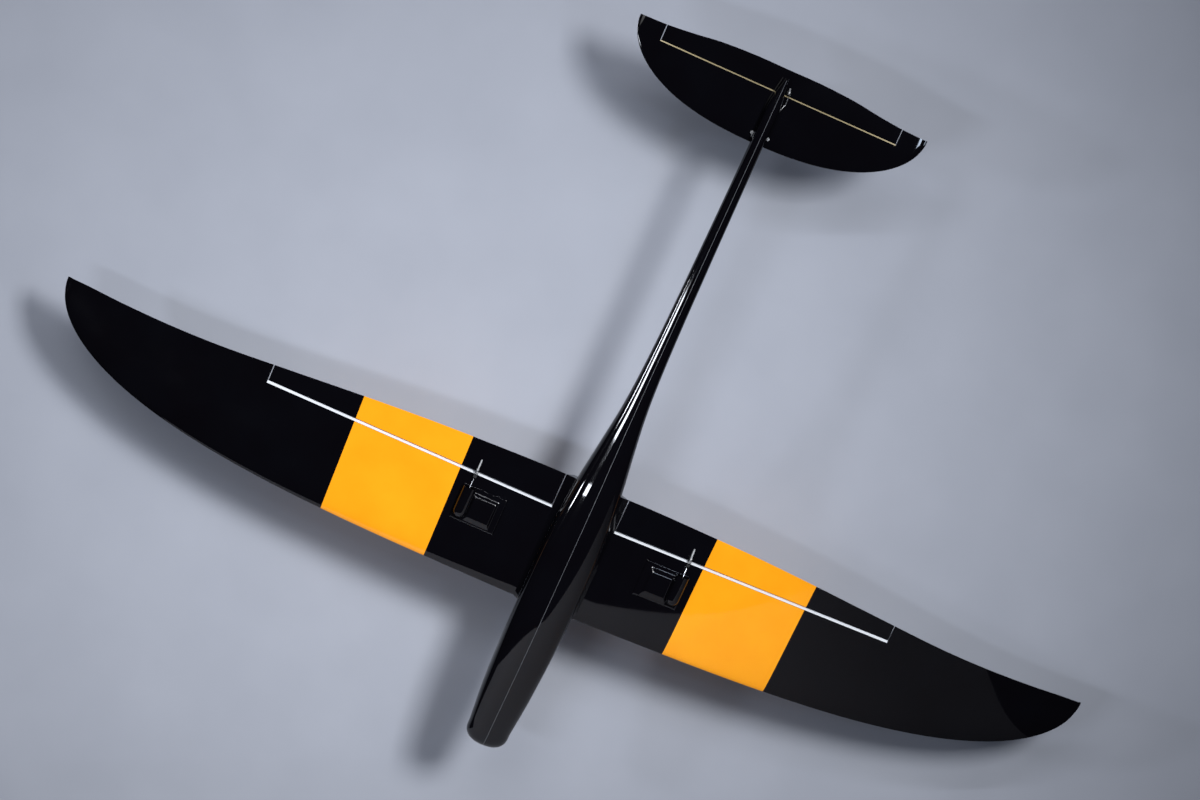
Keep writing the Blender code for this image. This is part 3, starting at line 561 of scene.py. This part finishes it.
UNDER, OVER, BACK_SEAM_END = -math.pi / 2, math.pi / 2, 505
bead("seam_belly", UNDER, NOSE_Y, BOOM_END)
bead("seam_back_front", OVER, NOSE_Y, CANOPY_MIDDLE - CANOPY_HALF_LENGTH - 1)
bead("seam_back", OVER, CANOPY_MIDDLE + CANOPY_HALF_LENGTH + 1, BACK_SEAM_END)
print("three seam beads, along the belly and the back")

# %% [markdown]
# ## The wing panels
# A panel is thin: 7.2% of its chord, with a gently rounded front edge that sweeps back to a
# raked tip. Its section is the same formula all along, so the panel is one loft. The flaperon is
# cut from it with a 4 mm gap on the underside and a fine slit on top, as on the real one, where
# the top skin's strip is the hinge.

# %% Wing dimensions
HALF_SPAN, DIHEDRAL = 626.3, math.radians(3.7)
HINGE_Y, HINGE_Z = 57.3, 33.0
ROOT_LEAD, TIP_Y, LEAD_POWER = -53.5, 75.2, 3.8
TRAIL_LINE = [(0, 96.5), (60, 96.5), (130, 94.2), (200, 91), (280, 85.5), (360, 79), (440, 72.8),
              (500, 71), (560, 72.2), (600, 74.5), (625, 75.2)]
WING_THICKNESS, WING_CAMBER = 0.072, 0.02
FILLET_START, FILLET_RADIUS = 38.0, 8.0
FLAP_ROOT, FLAP_TIP, FLAP_END_GAP = 38.4, 380.8, 0.9
HINGE_GAP, SKIN_LIP, LIP_GAP = 4.0, 0.7, 1.0
TIP_CUT, CUT_DEPTH, CUT_REACH = 0.2, 60, 90
PANEL_ENDS = (22, HALF_SPAN - TIP_CUT)
FLARE_AHEAD, FLARE_BEHIND, FLARE_RUN, FLARE_MOST = 0.5, 0.2, 0.08, 0.98
print("wing:", TRAIL_LINE[0][1] - ROOT_LEAD, "mm chord at the root,", 2 * HALF_SPAN, "mm of panels")


# %% Wing sections and the solids made of them
def foil(s, thickness, camber):
    """Top and bottom of a thin section of unit chord at the fraction s from its nose.

    The thickness is the usual four-digit formula, with a slightly blunt rear edge.
    """
    half = 5 * thickness * (0.2969 * math.sqrt(s) - 0.1260 * s - 0.3516 * s**2
                            + 0.2843 * s**3 - 0.1015 * s**4) + 0.0017 * s
    middle = 4 * camber * s * (1 - s)
    return middle + half, middle - half


def foil_ring(x, lead, trail, thickness, camber, flare=0.0, steps=38):
    """A section at x whose top skin passes through the hinge line, y = 0 and z = 0."""
    chord = trail - lead
    hinge = foil(min(max(-lead / chord, 0.0), 0.95), thickness, camber)[0] * chord
    shares = [0.5 - 0.5 * math.cos(math.pi * i / steps) for i in range(steps + 1)]
    top, bottom = [], []
    for s in shares:
        up, down = foil(s, thickness, camber)
        spread = flare * min(1.0, s / FLARE_RUN) ** 0.5
        y = lead + s * chord - flare * FLARE_AHEAD * (1 - s) + flare * FLARE_BEHIND * s
        top.append((x, y, up * chord - hinge + spread))
        bottom.append((x, y, down * chord - hinge - spread))
    return top[::-1] + bottom[1:]


def wing_lead(x):
    return TIP_Y - HINGE_Y - (TIP_Y - ROOT_LEAD) * math.sqrt(1 - (x / HALF_SPAN) ** LEAD_POWER)


def wing_trail(x):
    return along(TRAIL_LINE, x) - HINGE_Y


def wing_ring(x):
    """The panel's section at x, flared out into a fillet where it meets the pod."""
    reach = min(max(FILLET_START - x, 0.0), FILLET_RADIUS * FLARE_MOST)
    flare = FILLET_RADIUS - math.sqrt(FILLET_RADIUS**2 - reach**2)
    return foil_ring(x, wing_lead(x), wing_trail(x), WING_THICKNESS, WING_CAMBER, flare)


def wing_solid(low, high, count=130):
    """A stretch of a panel; stations close up towards the raked tip."""
    turns = [math.asin(x / HALF_SPAN) for x in (low, high)]
    stations = [HALF_SPAN * math.sin(turns[0] + (turns[1] - turns[0]) * i / count)
                for i in range(count + 1)]
    return loft([wing_ring(x) for x in stations])


def underside(x, y):
    """Height of the wing's lower skin in the panel's own axes."""
    lead, chord = wing_lead(x), wing_trail(x) - wing_lead(x)
    hinge = foil(-lead / chord, WING_THICKNESS, WING_CAMBER)[0]
    return (foil((y - lead) / chord, WING_THICKNESS, WING_CAMBER)[1] - hinge) * chord


def step_outline(edge, lip_edge, lip):
    """Aft of a hinge face that steps in under the top skin: (y, z) points of a deep prism."""
    return [(edge, -CUT_DEPTH), (CUT_REACH, -CUT_DEPTH), (CUT_REACH, CUT_DEPTH),
            (lip_edge, CUT_DEPTH), (lip_edge, -lip), (edge, -lip)]


# %% [markdown]
# ## The servo covers
# Each cover is a sheet formed over a block: a raised box clears the servo and a half-round hood
# clears its arm, open at the back for the wire. Formed sheet has no sharp corner, so the cover is
# made as a height over a fine grid, where each wall is a short smooth ramp. The hood is then laid
# over it as its own thin shell.

# %% Cover dimensions and heights
COVER_X, COVER_Y = (85.0, 138.0), (-57.3, -14.3)
BLISTER_X, BLISTER_Y, BLISTER_DEPTH = (92.0, 123.2), (-55.3, -19.4), 4.0
HOOD_X, HOOD_RADIUS, HOOD_Y, HOOD_Z = 129.5, 8.2, (-54.0, -17.0), -9.0
HOOD_TURNS, HOOD_REAR, HOOD_FOOT = (8, 20, 32, 44, 56, 68, 80, 90), [-38.0, -30.0], 0.3
SHEET, RIM_BASE, RIM_RISE, RIM_RUN = 0.8, 0.1, 1.1, 1.2
SIDE_RUN, FRONT_RUN, BACK_RUN = 4.0, 7.0, 6.5
ARM_SLOT_X, ARM_SLOT_Y = (HOOD_X - 6.0, HOOD_X + 6.0), (-49.0, COVER_Y[1] - 3.0)
SERVO_HOLLOW = ((94.5, -55, -30), (135, -17, 1))
RECESS_LOW, RECESS_MIDDLE, RECESS_DEPTH = -30, (111, -36), 0.9
print("cover:", COVER_X[1] - COVER_X[0], "x", COVER_Y[1] - COVER_Y[0], "mm,", BLISTER_DEPTH, "mm high")


# %% The formed sheet and the hood
def ramp(value, start, end):
    """A smooth rise from 0 at start to 1 at end."""
    t = min(max((value - start) / (end - start), 0.0), 1.0)
    return t * t * (3 - 2 * t)


def cover_height(x, y):
    """How far the formed sheet stands below the wing's skin."""
    edge = min(ramp(x, COVER_X[0], COVER_X[0] + RIM_RUN),
               ramp(x, COVER_X[1], COVER_X[1] - RIM_RUN),
               ramp(y, COVER_Y[0], COVER_Y[0] + RIM_RUN),
               ramp(y, COVER_Y[1], COVER_Y[1] - RIM_RUN))
    box = min(ramp(x, BLISTER_X[0], BLISTER_X[0] + SIDE_RUN),
              ramp(x, BLISTER_X[1], BLISTER_X[1] - SIDE_RUN),
              ramp(y, BLISTER_Y[0], BLISTER_Y[0] + FRONT_RUN),
              ramp(y, BLISTER_Y[1], BLISTER_Y[1] - BACK_RUN))
    return RIM_BASE + RIM_RISE * edge + (BLISTER_DEPTH - RIM_BASE - RIM_RISE) * box


def cover_sheet(step=0.5):
    """The formed sheet as a closed shell, with a slot under the hood for the servo's arm."""
    mesh = bmesh.new()
    nx = round((COVER_X[1] - COVER_X[0]) / step)
    ny = round((COVER_Y[1] - COVER_Y[0]) / step)
    layers = []
    for inset in (0.0, SHEET):
        layer = []
        for i in range(nx + 1):
            x = COVER_X[0] + step * i
            row = []
            for j in range(ny + 1):
                y = COVER_Y[0] + step * j
                row.append(mesh.verts.new((x, y, underside(x, y) - cover_height(x, y) + inset)))
            layer.append(row)
        layers.append(layer)

    def solid(i, j):
        if not (0 <= i < nx and 0 <= j < ny):
            return False
        x, y = COVER_X[0] + step * (i + 0.5), COVER_Y[0] + step * (j + 0.5)
        return not (ARM_SLOT_X[0] < x < ARM_SLOT_X[1] and ARM_SLOT_Y[0] < y < ARM_SLOT_Y[1])

    low, high = layers
    for i in range(nx):
        for j in range(ny):
            if not solid(i, j):
                continue
            square = [(i, j), (i + 1, j), (i + 1, j + 1), (i, j + 1)]
            mesh.faces.new([low[a][b] for a, b in square])
            mesh.faces.new([high[a][b] for a, b in reversed(square)])
            sides = [((0, -1), 0, 1), ((1, 0), 1, 2), ((0, 1), 2, 3), ((-1, 0), 3, 0)]
            for (di, dj), p, q in sides:
                if not solid(i + di, j + dj):
                    (a, b), (c, d) = square[p], square[q]
                    mesh.faces.new((low[c][d], low[a][b], high[a][b], high[c][d]))
    return mesh


def hood_shell(around=28):
    """The half-round hood: rounded at the front, open at the back, as thick as the sheet."""
    mesh = bmesh.new()
    skins = []
    for inset in (0.0, SHEET):
        radius, front = HOOD_RADIUS - inset, HOOD_Y[0] + inset
        turns = [math.radians(a) for a in HOOD_TURNS]
        stations = [front + radius * (1 - math.cos(a)) for a in turns] + HOOD_REAR + [HOOD_Y[1]]
        skin = []
        for y in stations:
            share = max(0.0, 1 - (y - front) / radius)
            r = radius * math.sqrt(1 - share**2)
            foot = underside(HOOD_X, y) - HOOD_FOOT
            arc = [(HOOD_X + r * math.cos(a), y, HOOD_Z + r * math.sin(a))
                   for a in (math.pi + math.pi * k / around for k in range(around + 1))]
            ring = [(HOOD_X - r, y, foot)] + arc + [(HOOD_X + r, y, foot)]
            skin.append([mesh.verts.new(point) for point in ring])
        skins.append(skin)
    outer, inner = skins
    last = len(outer[0]) - 1
    for skin in skins:
        for first, second in zip(skin, skin[1:]):
            for k in range(last):
                mesh.faces.new((first[k], first[k + 1], second[k + 1], second[k]))
    for k in range(last):
        mesh.faces.new((outer[-1][k], outer[-1][k + 1], inner[-1][k + 1], inner[-1][k]))
    for m in range(len(outer) - 1):
        for k in (0, last):
            mesh.faces.new((outer[m][k], outer[m + 1][k], inner[m + 1][k], inner[m][k]))
    mesh.faces.new(outer[0] + inner[0][::-1])
    return mesh


# %% [markdown]
# ## The strips' shape
# From below, the strip is what fills the gap between wing and flaperon: it stands on the wing's
# web, flush with the skin, and slopes up to the hinge. It follows the skin, so it is a loft too.

# %% Strip sections
ROOF_GAP, HINGE_TOUCH = 0.35, 0.1
SLOPE_START, SLOPE_END, SLOPE_RISE = 0.45, 0.55, 0.4


def strip_ring(x, half_gap, depth, lip):
    """The strip's section at x: a foot on the web, and a slope towards the hinge."""
    low = depth + GAP
    roof = -lip - ROOF_GAP
    return [(x, -half_gap + GAP, low), (x, -half_gap * SLOPE_START, low),
            (x, half_gap * SLOPE_END, roof - SLOPE_RISE * half_gap), (x, -HINGE_TOUCH, roof),
            (x, -half_gap + GAP, roof)]


def strip_solid(low, high, half_gap, depth_at, lip, count=60):
    """A strip from low to high; depth_at gives the height of the skin that it follows."""
    stations = [low + (high - low) * i / count for i in range(count + 1)]
    return loft([strip_ring(x, half_gap, depth_at(x), lip) for x in stations])


# %% [markdown]
# ## One panel and what rides on it
# The right panel is the left one mirrored, as two moulds of one design are. Both come from one
# function, which lofts the panel twice: once less the flaperon's bay, and once only inside it.

# %% A finished piece
def finish_piece(piece, material, body, slot, *nodes):
    """Gives a piece its material, its body and the nodes that it stands for; the slot is not used."""
    piece.data.materials.clear()
    piece.data.materials.append(material)
    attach(piece, body)
    if nodes:
        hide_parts(*nodes)
    return piece


# %% Both panels
def wing_panel(word, side):
    """The wing, flaperon, strip, cover and hood of one side: 1 is left and -1 is right."""
    place = Matrix.Translation((0, DESIGN_Y + HINGE_Y * MM, HINGE_Z * MM))
    place = place @ Matrix.Rotation(-side * DIHEDRAL, 4, "Y")
    half_gap, half_lip = HINGE_GAP / 2, LIP_GAP / 2

    def cutter(name, mesh):
        return make(name, mesh, place, side)

    clearance = make("pod_clearance", pod_solid(-GAP, NOSE_Y - GAP, BOOM_END + GAP), DESIGN)
    bay = cutter("flap_bay", spanwise(step_outline(-half_gap, -half_lip, SKIN_LIP),
                                      FLAP_ROOT - FLAP_END_GAP, FLAP_TIP + FLAP_END_GAP))
    region = cutter("flap_region", spanwise(step_outline(half_gap, half_lip, SKIN_LIP),
                                            FLAP_ROOT, FLAP_TIP))
    hollow = cutter("servo_hollow", block(*SERVO_HOLLOW))
    recess_top = underside(*RECESS_MIDDLE) + RECESS_DEPTH
    recess = cutter("cover_recess", block((COVER_X[0] - GAP, COVER_Y[0] - GAP, RECESS_LOW),
                                          (COVER_X[1] + GAP, COVER_Y[1] + GAP, recess_top)))

    wing = make("wing_skin_" + word, wing_solid(*PANEL_ENDS), place, side)
    carve(wing, "DIFFERENCE", clearance, bay, recess, hollow)
    finish_piece(wing, BANDED_GELCOAT, "airframe", "gelcoat", "wing_" + word)

    flaperon = make("flaperon_skin_" + word, wing_solid(*PANEL_ENDS), place, side)
    carve(flaperon, "INTERSECT", region)
    finish_piece(flaperon, BANDED_GELCOAT, "flaperon_" + word, "gelcoat", "flaperon_" + word)

    ends = FLAP_ROOT - FLAP_END_GAP + GAP, FLAP_TIP + FLAP_END_GAP - GAP
    strip = make("hinge_strip_" + word, strip_solid(*ends, half_gap,
                 lambda x: underside(x, -half_gap), SKIN_LIP), place, side)
    finish_piece(settle(strip), WHITE_STRIP, "airframe", "hinge_tape",
                 "flaperon_hinge_strip_" + word)

    cover = make("servo_cover_sheet_" + word, cover_sheet(), place, side)
    finish_piece(settle(cover, 50), GELCOAT, "airframe", "servo_cover_skin", "servo_cover_" + word)
    hood = make("servo_cover_hood_" + word, hood_shell(), place, side)
    finish_piece(settle(hood, 40), GELCOAT, "airframe", "servo_cover_skin")

    discard(clearance, bay, region, hollow, recess)
    print(word, "panel:", len(wing.data.polygons), "+", len(flaperon.data.polygons), "faces")


for word, side in (("left", 1), ("right", -1)):
    wing_panel(word, side)

# %% [markdown]
# ## The tail
# The tailplane is a thin flat plate of the same kind, with its tips raked back, and the elevator
# is cut from it in one piece. The fin stands above, on a foot that clamps the tailplane down.
# It isn't seen from below, but the glider can't fly without it.

# %% Tail dimensions
TAIL_HINGE_Y, TAIL_HINGE_Z = 575.0, 20.5
TAIL_HALF_SPAN, TAIL_LEAD, TAIL_TIP_Y, TAIL_LEAD_POWER = 170.8, 514.6, 592.2, 2.4
TAIL_TRAIL = [(0, 602), (40, 602), (80, 599.8), (110, 596), (140, 593.2), (170.8, 592.2)]
TAIL_THICKNESS, TAIL_LIP, ELEVATOR_HALF, ELEVATOR_GAP, TAIL_END_GAP = 0.055, 0.6, 139.6, 2.0, 0.8
TAIL_LIP_HALF_GAP = 0.4
FIN_HEIGHT, FIN_BASE, FIN_THICKNESS = 118.0, -6, 0.065
FIN_LEAD, FIN_TRAIL = (-86, 52, 10), (-2.5, 14, -6)
FIN_FOOT = ((-12, -57, -1.5), (12, -12, 2.2))
UNDER_TAIL = ((-30, -56, -60), (30, 120, -1.5))
print("tail:", 2 * TAIL_HALF_SPAN, "mm across, fin", FIN_HEIGHT, "mm high")


# %% Tail sections
def tail_lead(x):
    share = max(0.0, 1 - (abs(x) / TAIL_HALF_SPAN) ** TAIL_LEAD_POWER)
    return TAIL_TIP_Y - TAIL_HINGE_Y - (TAIL_TIP_Y - TAIL_LEAD) * math.sqrt(share)


def tail_trail(x):
    return along(TAIL_TRAIL, abs(x)) - TAIL_HINGE_Y


def tail_solid(grow=0.0, count=46):
    """The whole tailplane, made bigger all round by grow where it is to cut a seat."""
    half = [(TAIL_HALF_SPAN - TIP_CUT) * math.sin(math.pi / 2 * i / count) for i in range(count + 1)]
    rings = []
    for x in [-x for x in half[:0:-1]] + half:
        ring = foil_ring(x, tail_lead(x) - grow, tail_trail(x) + grow, TAIL_THICKNESS, 0.0,
                         steps=30)
        middle = sum(p[2] for p in ring) / len(ring)
        rings.append([(p[0], p[1], p[2] + math.copysign(grow, p[2] - middle)) for p in ring])
    return loft(rings)


def tail_depth(x):
    """Height of the tailplane's lower skin at the hinge."""
    lead, chord = tail_lead(x), tail_trail(x) - tail_lead(x)
    up, down = foil(-lead / chord, TAIL_THICKNESS, 0.0)
    return (down - up) * chord


def fin_edge(edge, rise):
    """Where an edge of the fin is at the share of its height: start, rake and curl."""
    start, rake, curl = edge
    return start + rake * rise + curl * rise**6


def fin_blade(steps=26):
    """The fin's upright sections, each centred on the middle plane."""
    rings = []
    for i in range(steps + 1):
        rise = i / steps
        section = foil_ring(0, fin_edge(FIN_LEAD, rise), fin_edge(FIN_TRAIL, rise),
                            FIN_THICKNESS, 0.0, steps=24)
        middle = sum(point[2] for point in section) / len(section)
        height = FIN_BASE + FIN_HEIGHT * rise
        rings.append([(point[2] - middle, point[1], height) for point in section])
    return loft(rings)


# %% Tailplane, elevator, strip and fin
TAIL = Matrix.Translation((0, DESIGN_Y + TAIL_HINGE_Y * MM, TAIL_HINGE_Z * MM))
bay_end = ELEVATOR_HALF + TAIL_END_GAP
bay_outline = step_outline(-ELEVATOR_GAP / 2, -TAIL_LIP_HALF_GAP, TAIL_LIP)
region_outline = step_outline(ELEVATOR_GAP / 2, TAIL_LIP_HALF_GAP, TAIL_LIP)
elevator_bay = make("elevator_bay", spanwise(bay_outline, -bay_end, bay_end), TAIL)
elevator_region = make("elevator_region",
                       spanwise(region_outline, -ELEVATOR_HALF, ELEVATOR_HALF), TAIL)
tailplane = make("tailplane_skin", tail_solid(), TAIL)
carve(tailplane, "DIFFERENCE", elevator_bay)
finish_piece(tailplane, GELCOAT, "airframe", "gelcoat", "stabiliser")
elevator = make("elevator_skin", tail_solid(), TAIL)
carve(elevator, "INTERSECT", elevator_region)
finish_piece(elevator, GELCOAT, "elevator", "gelcoat", "elevator")

strip_half = bay_end - GAP
tail_strip = make("elevator_strip", strip_solid(-strip_half, strip_half, ELEVATOR_GAP / 2,
                  tail_depth, TAIL_LIP, count=90), TAIL)
finish_piece(settle(tail_strip), BEIGE_STRIP, "airframe", "elevator_tape", "elevator_hinge_strip")

fin = make("fin_skin", fin_blade(), TAIL)
foot = make("fin_foot", block(*FIN_FOOT), TAIL)
around_tail = make("around_tail", tail_solid(2 * GAP), TAIL)
around_pod = make("around_pod", pod_solid(-GAP, NOSE_Y - GAP, BOOM_END + GAP), DESIGN)
under_tail = make("under_tail", block(*UNDER_TAIL), TAIL)
carve(fin, "UNION", foot)
carve(fin, "DIFFERENCE", around_tail, around_pod, under_tail)
finish_piece(fin, GELCOAT, "airframe", "gelcoat", "fin")
discard(elevator_bay, elevator_region, foot, around_tail, around_pod, under_tail, pod_inside)
print("tail:", len(tailplane.data.polygons), "+", len(elevator.data.polygons), "faces")

# %% [markdown]
# ## The engineering pieces that stay
# Linkages, servos, rods and what lies inside the pod have the right shape already, so they keep
# their meshes and only get a real finish.

# %% Finishes for the pieces that stay
PAIRED = {
    STEEL: ["flaperon_pushrod_", "wing_pin_front_", "wing_pin_rear_", "tail_screw_"],
    NYLON: ["flaperon_horn_"],
    BLACK_NYLON: ["flaperon_clevis_", "wing_servo_arm_"],
    SERVO_CASE: ["wing_servo_"],
}
SINGLE = {"elevator_pushrod": STEEL, "elevator_horn": NYLON, "elevator_servo_arm": BLACK_NYLON,
          "elevator_servo": SERVO_CASE, "wing_joiner": CARBON, "servo_tray": PLYWOOD,
          "nose_ballast": BALLAST_LEAD, "battery_pack": SLEEVE, "receiver": RECEIVER_CASE}
FINISHES = dict(SINGLE)
for material, stems in PAIRED.items():
    FINISHES.update({stem + word: material for stem in stems for word in ("left", "right")})
for node, material in FINISHES.items():
    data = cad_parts[node].data
    data.materials.clear()
    data.materials.append(material)
print(len(FINISHES), "engineering pieces given their finish")

# %% [markdown]
# ## Paper, floor and card
# The glider hangs in front of pale grey paper. The paper faces down, since the camera is below,
# and a floor faces up for whoever looks from above. Each shows only its own side, which is done
# in its material: seen from the back it is clear. A card by the nose is what the front of the
# belly reflects. Its colour darkens to one side, a painted shade for the floor that lies in shade
# there, so that the reflection fades out instead of ending.

# %% One-sided stage materials
CLOUD_MM, TOOTH_MM, TOOTH_DEPTH = 120, 1.5, 0.05
# Where the card's painted shade starts and ends along its X axis, and how dark it gets.
CARD_PAINTED_SHADE = (-0.1, 0.55, 0.85)


def one_sided(name, colour):
    """A matt surface with the tooth of paper, seen only from its front."""
    material, tree, shader, here = surface(name, colour, 0.9)
    relief(tree, shader, uneven(tree, here, TOOTH_MM, 0.0, 1.0), TOOTH_DEPTH, 0.3)
    clear = add(tree, "BsdfTransparent")
    back = add(tree, "NewGeometry").outputs["Backfacing"]
    chosen = add(tree, "MixShader", {0: back, 1: shader.outputs[0], 2: clear.outputs[0]})
    tree.links.new(chosen.outputs[0], tree.nodes["Material Output"].inputs["Surface"])
    return material, tree, shader, here


def grey_paper(name, colour, other):
    """Background paper, very slightly cloudy."""
    material, tree, shader, here = one_sided(name, colour)
    mixed = add(tree, "Mix", {"Factor": uneven(tree, here, CLOUD_MM, 0.0, 1.0), 6: srgb(colour),
                              7: srgb(other)}, data_type="RGBA")
    tree.links.new(mixed.outputs[2], shader.inputs["Base Color"])
    return material


def painted_shade_card(name, colour, other):
    """A card whose colour goes from one to nearly the other along its own X axis: a painted shade."""
    material, tree, shader, here = one_sided(name, colour)
    across = add(tree, "SeparateXYZ", {0: here}).outputs["X"]
    start, end, most = CARD_PAINTED_SHADE
    # Painted shade: the card darkens along its X axis, as the floor it stands for lies in shade there.
    shade = add(tree, "MapRange", {"Value": across, "From Min": start, "From Max": end,
                                   "To Min": 0.0, "To Max": most})
    mixed = add(tree, "Mix", {"Factor": shade.outputs[0], 6: srgb(colour), 7: srgb(other)},
                data_type="RGBA")
    tree.links.new(mixed.outputs[2], shader.inputs["Base Color"])
    return material


PAPER = grey_paper("grey_paper", "#A9AEBA", "#A4A9B5")
# The card's material carries a painted shade, darker towards one side.
PAINTED_SHADE_CARD = painted_shade_card("card_with_painted_shade", "#F4F6FF", "#1A1B20")


# %% Backdrop, floor and card
PAPER_LEVEL, FLOOR_LEVEL, PAPER_SIZE = 0.17, -0.0012, 9.0
NOSE_LEVEL, CARD_EDGE, CARD_SIZE, CARD_SHIFT = 0.425, 0.30, 1.3, 0.15


def panel(name, centre, normal, size, material):
    """A flat square of the stage, facing along normal."""
    mesh = bmesh.new()
    bmesh.ops.create_grid(mesh, x_segments=1, y_segments=1, size=size / 2)
    data = bpy.data.meshes.new(name)
    mesh.to_mesh(data)
    mesh.free()
    data.materials.append(material)
    made = bpy.data.objects.new(name, data)
    bpy.context.scene.collection.objects.link(made)
    turned = Vector(normal).to_track_quat("Z", "Y").to_matrix().to_4x4()
    made.matrix_world = Matrix.Translation(centre) @ turned
    return made


backdrop = panel("backdrop", (0, 0, PAPER_LEVEL), (0, 0, -1), PAPER_SIZE, PAPER)
backdrop.visible_shadow = False
floor = panel("floor", (0, 0, FLOOR_LEVEL), (0, 0, 1), PAPER_SIZE, PAPER)
floor.visible_diffuse = floor.visible_glossy = floor.visible_shadow = False
card_place = (AIM - IMAGE_UP * NOSE_LEVEL + IMAGE_BACK * (CARD_EDGE - CARD_SIZE / 2)
              - IMAGE_RIGHT * CARD_SHIFT)
card = panel("card", card_place, IMAGE_UP, CARD_SIZE, PAINTED_SHADE_CARD)
card.visible_camera = card.visible_shadow = card.visible_diffuse = False
print("paper", PAPER_LEVEL, "m up, card", CARD_SIZE, "m wide")

# %% [markdown]
# ## Lights
# The key light stands beside the camera, to its right, and throws the soft shadows. A wide fill
# lifts them and the paper. A gloss black skin shows hardly any light of its own: it shows the
# shapes of the lights. So the small ones are there to be mirrored, each placed where a curved
# skin sends the eye: to the left of the camera for the pod and boom, to its right for a raked
# tip, and a long strip past the tail. Each is given a spread, so that it lights little else. A
# soft one overhead is for whoever looks from above.

# %% Lights
def softbox(name, right, up, back, width, height, power, tint="#FFFFFF", spread=180,
            toward=(0.0, 0.0), lean=0.0):
    """A rectangular light, placed from the aim point along the camera's own axes."""
    data = bpy.data.lights.new(name, "AREA")
    data.shape = "RECTANGLE"
    data.size, data.size_y = width, height
    data.energy = power
    data.spread = math.radians(spread)
    data.color = srgb(tint)[:3]
    made = bpy.data.objects.new(name, data)
    bpy.context.scene.collection.objects.link(made)
    offset = IMAGE_RIGHT * right + IMAGE_UP * up + IMAGE_BACK * back
    facing = (offset - IMAGE_RIGHT * toward[0] - IMAGE_UP * toward[1]).normalized()
    across = IMAGE_UP.cross(facing).normalized()
    turned = Matrix((across, facing.cross(across), facing)).transposed().to_4x4()
    turned = turned @ Matrix.Rotation(math.radians(lean), 4, "Z")
    made.matrix_world = Matrix.Translation(AIM + offset) @ turned
    return made


# The name, how far right, up and back of the aim point (m), width and height (m), power (W).
softbox("key_light", 1.02, 0.34, 2.2, 0.50, 0.50, 7.4, spread=62, toward=(-0.28, -0.26))
softbox("fill_light", -0.25, 0.75, 2.4, 1.2, 1.0, 1.7, spread=70, toward=(-0.25, 0.0))
softbox("left_light", -1.95, 0.28, 1.55, 0.16, 0.22, 1.5, "#F2F5FF", spread=75)
softbox("window_light", -0.86, -0.30, 2.2, 0.56, 0.13, 1.5, "#EEF4FF", spread=75, lean=-28)
softbox("tip_light", 1.17, -0.27, 2.07, 0.18, 0.18, 0.35, "#D8E8FF", spread=75)
softbox("tail_light", 0.2, 1.0, 2.2, 1.8, 0.06, 3.0, "#F2F5FF", spread=90)

# %% Overhead light and surroundings
OVERHEAD_PLACE, OVERHEAD_SIZE, OVERHEAD_POWER = (0.5, -0.6, 2.2), 1.6, 8.0
ROOM_TINT, ROOM_STRENGTH = "#6F7486", 0.045

overhead_data = bpy.data.lights.new("top_light", "AREA")
overhead_data.size = OVERHEAD_SIZE
overhead_data.energy = OVERHEAD_POWER
overhead = bpy.data.objects.new("top_light", overhead_data)
bpy.context.scene.collection.objects.link(overhead)
overhead.matrix_world = Matrix.Translation(OVERHEAD_PLACE)

world = bpy.data.worlds.new("studio")
world.use_nodes = True
world.node_tree.nodes["Background"].inputs["Color"].default_value = srgb(ROOM_TINT)
world.node_tree.nodes["Background"].inputs["Strength"].default_value = ROOM_STRENGTH
bpy.context.scene.world = world
bpy.context.scene.view_settings.view_transform = "Standard"
print("stage and lights are up")
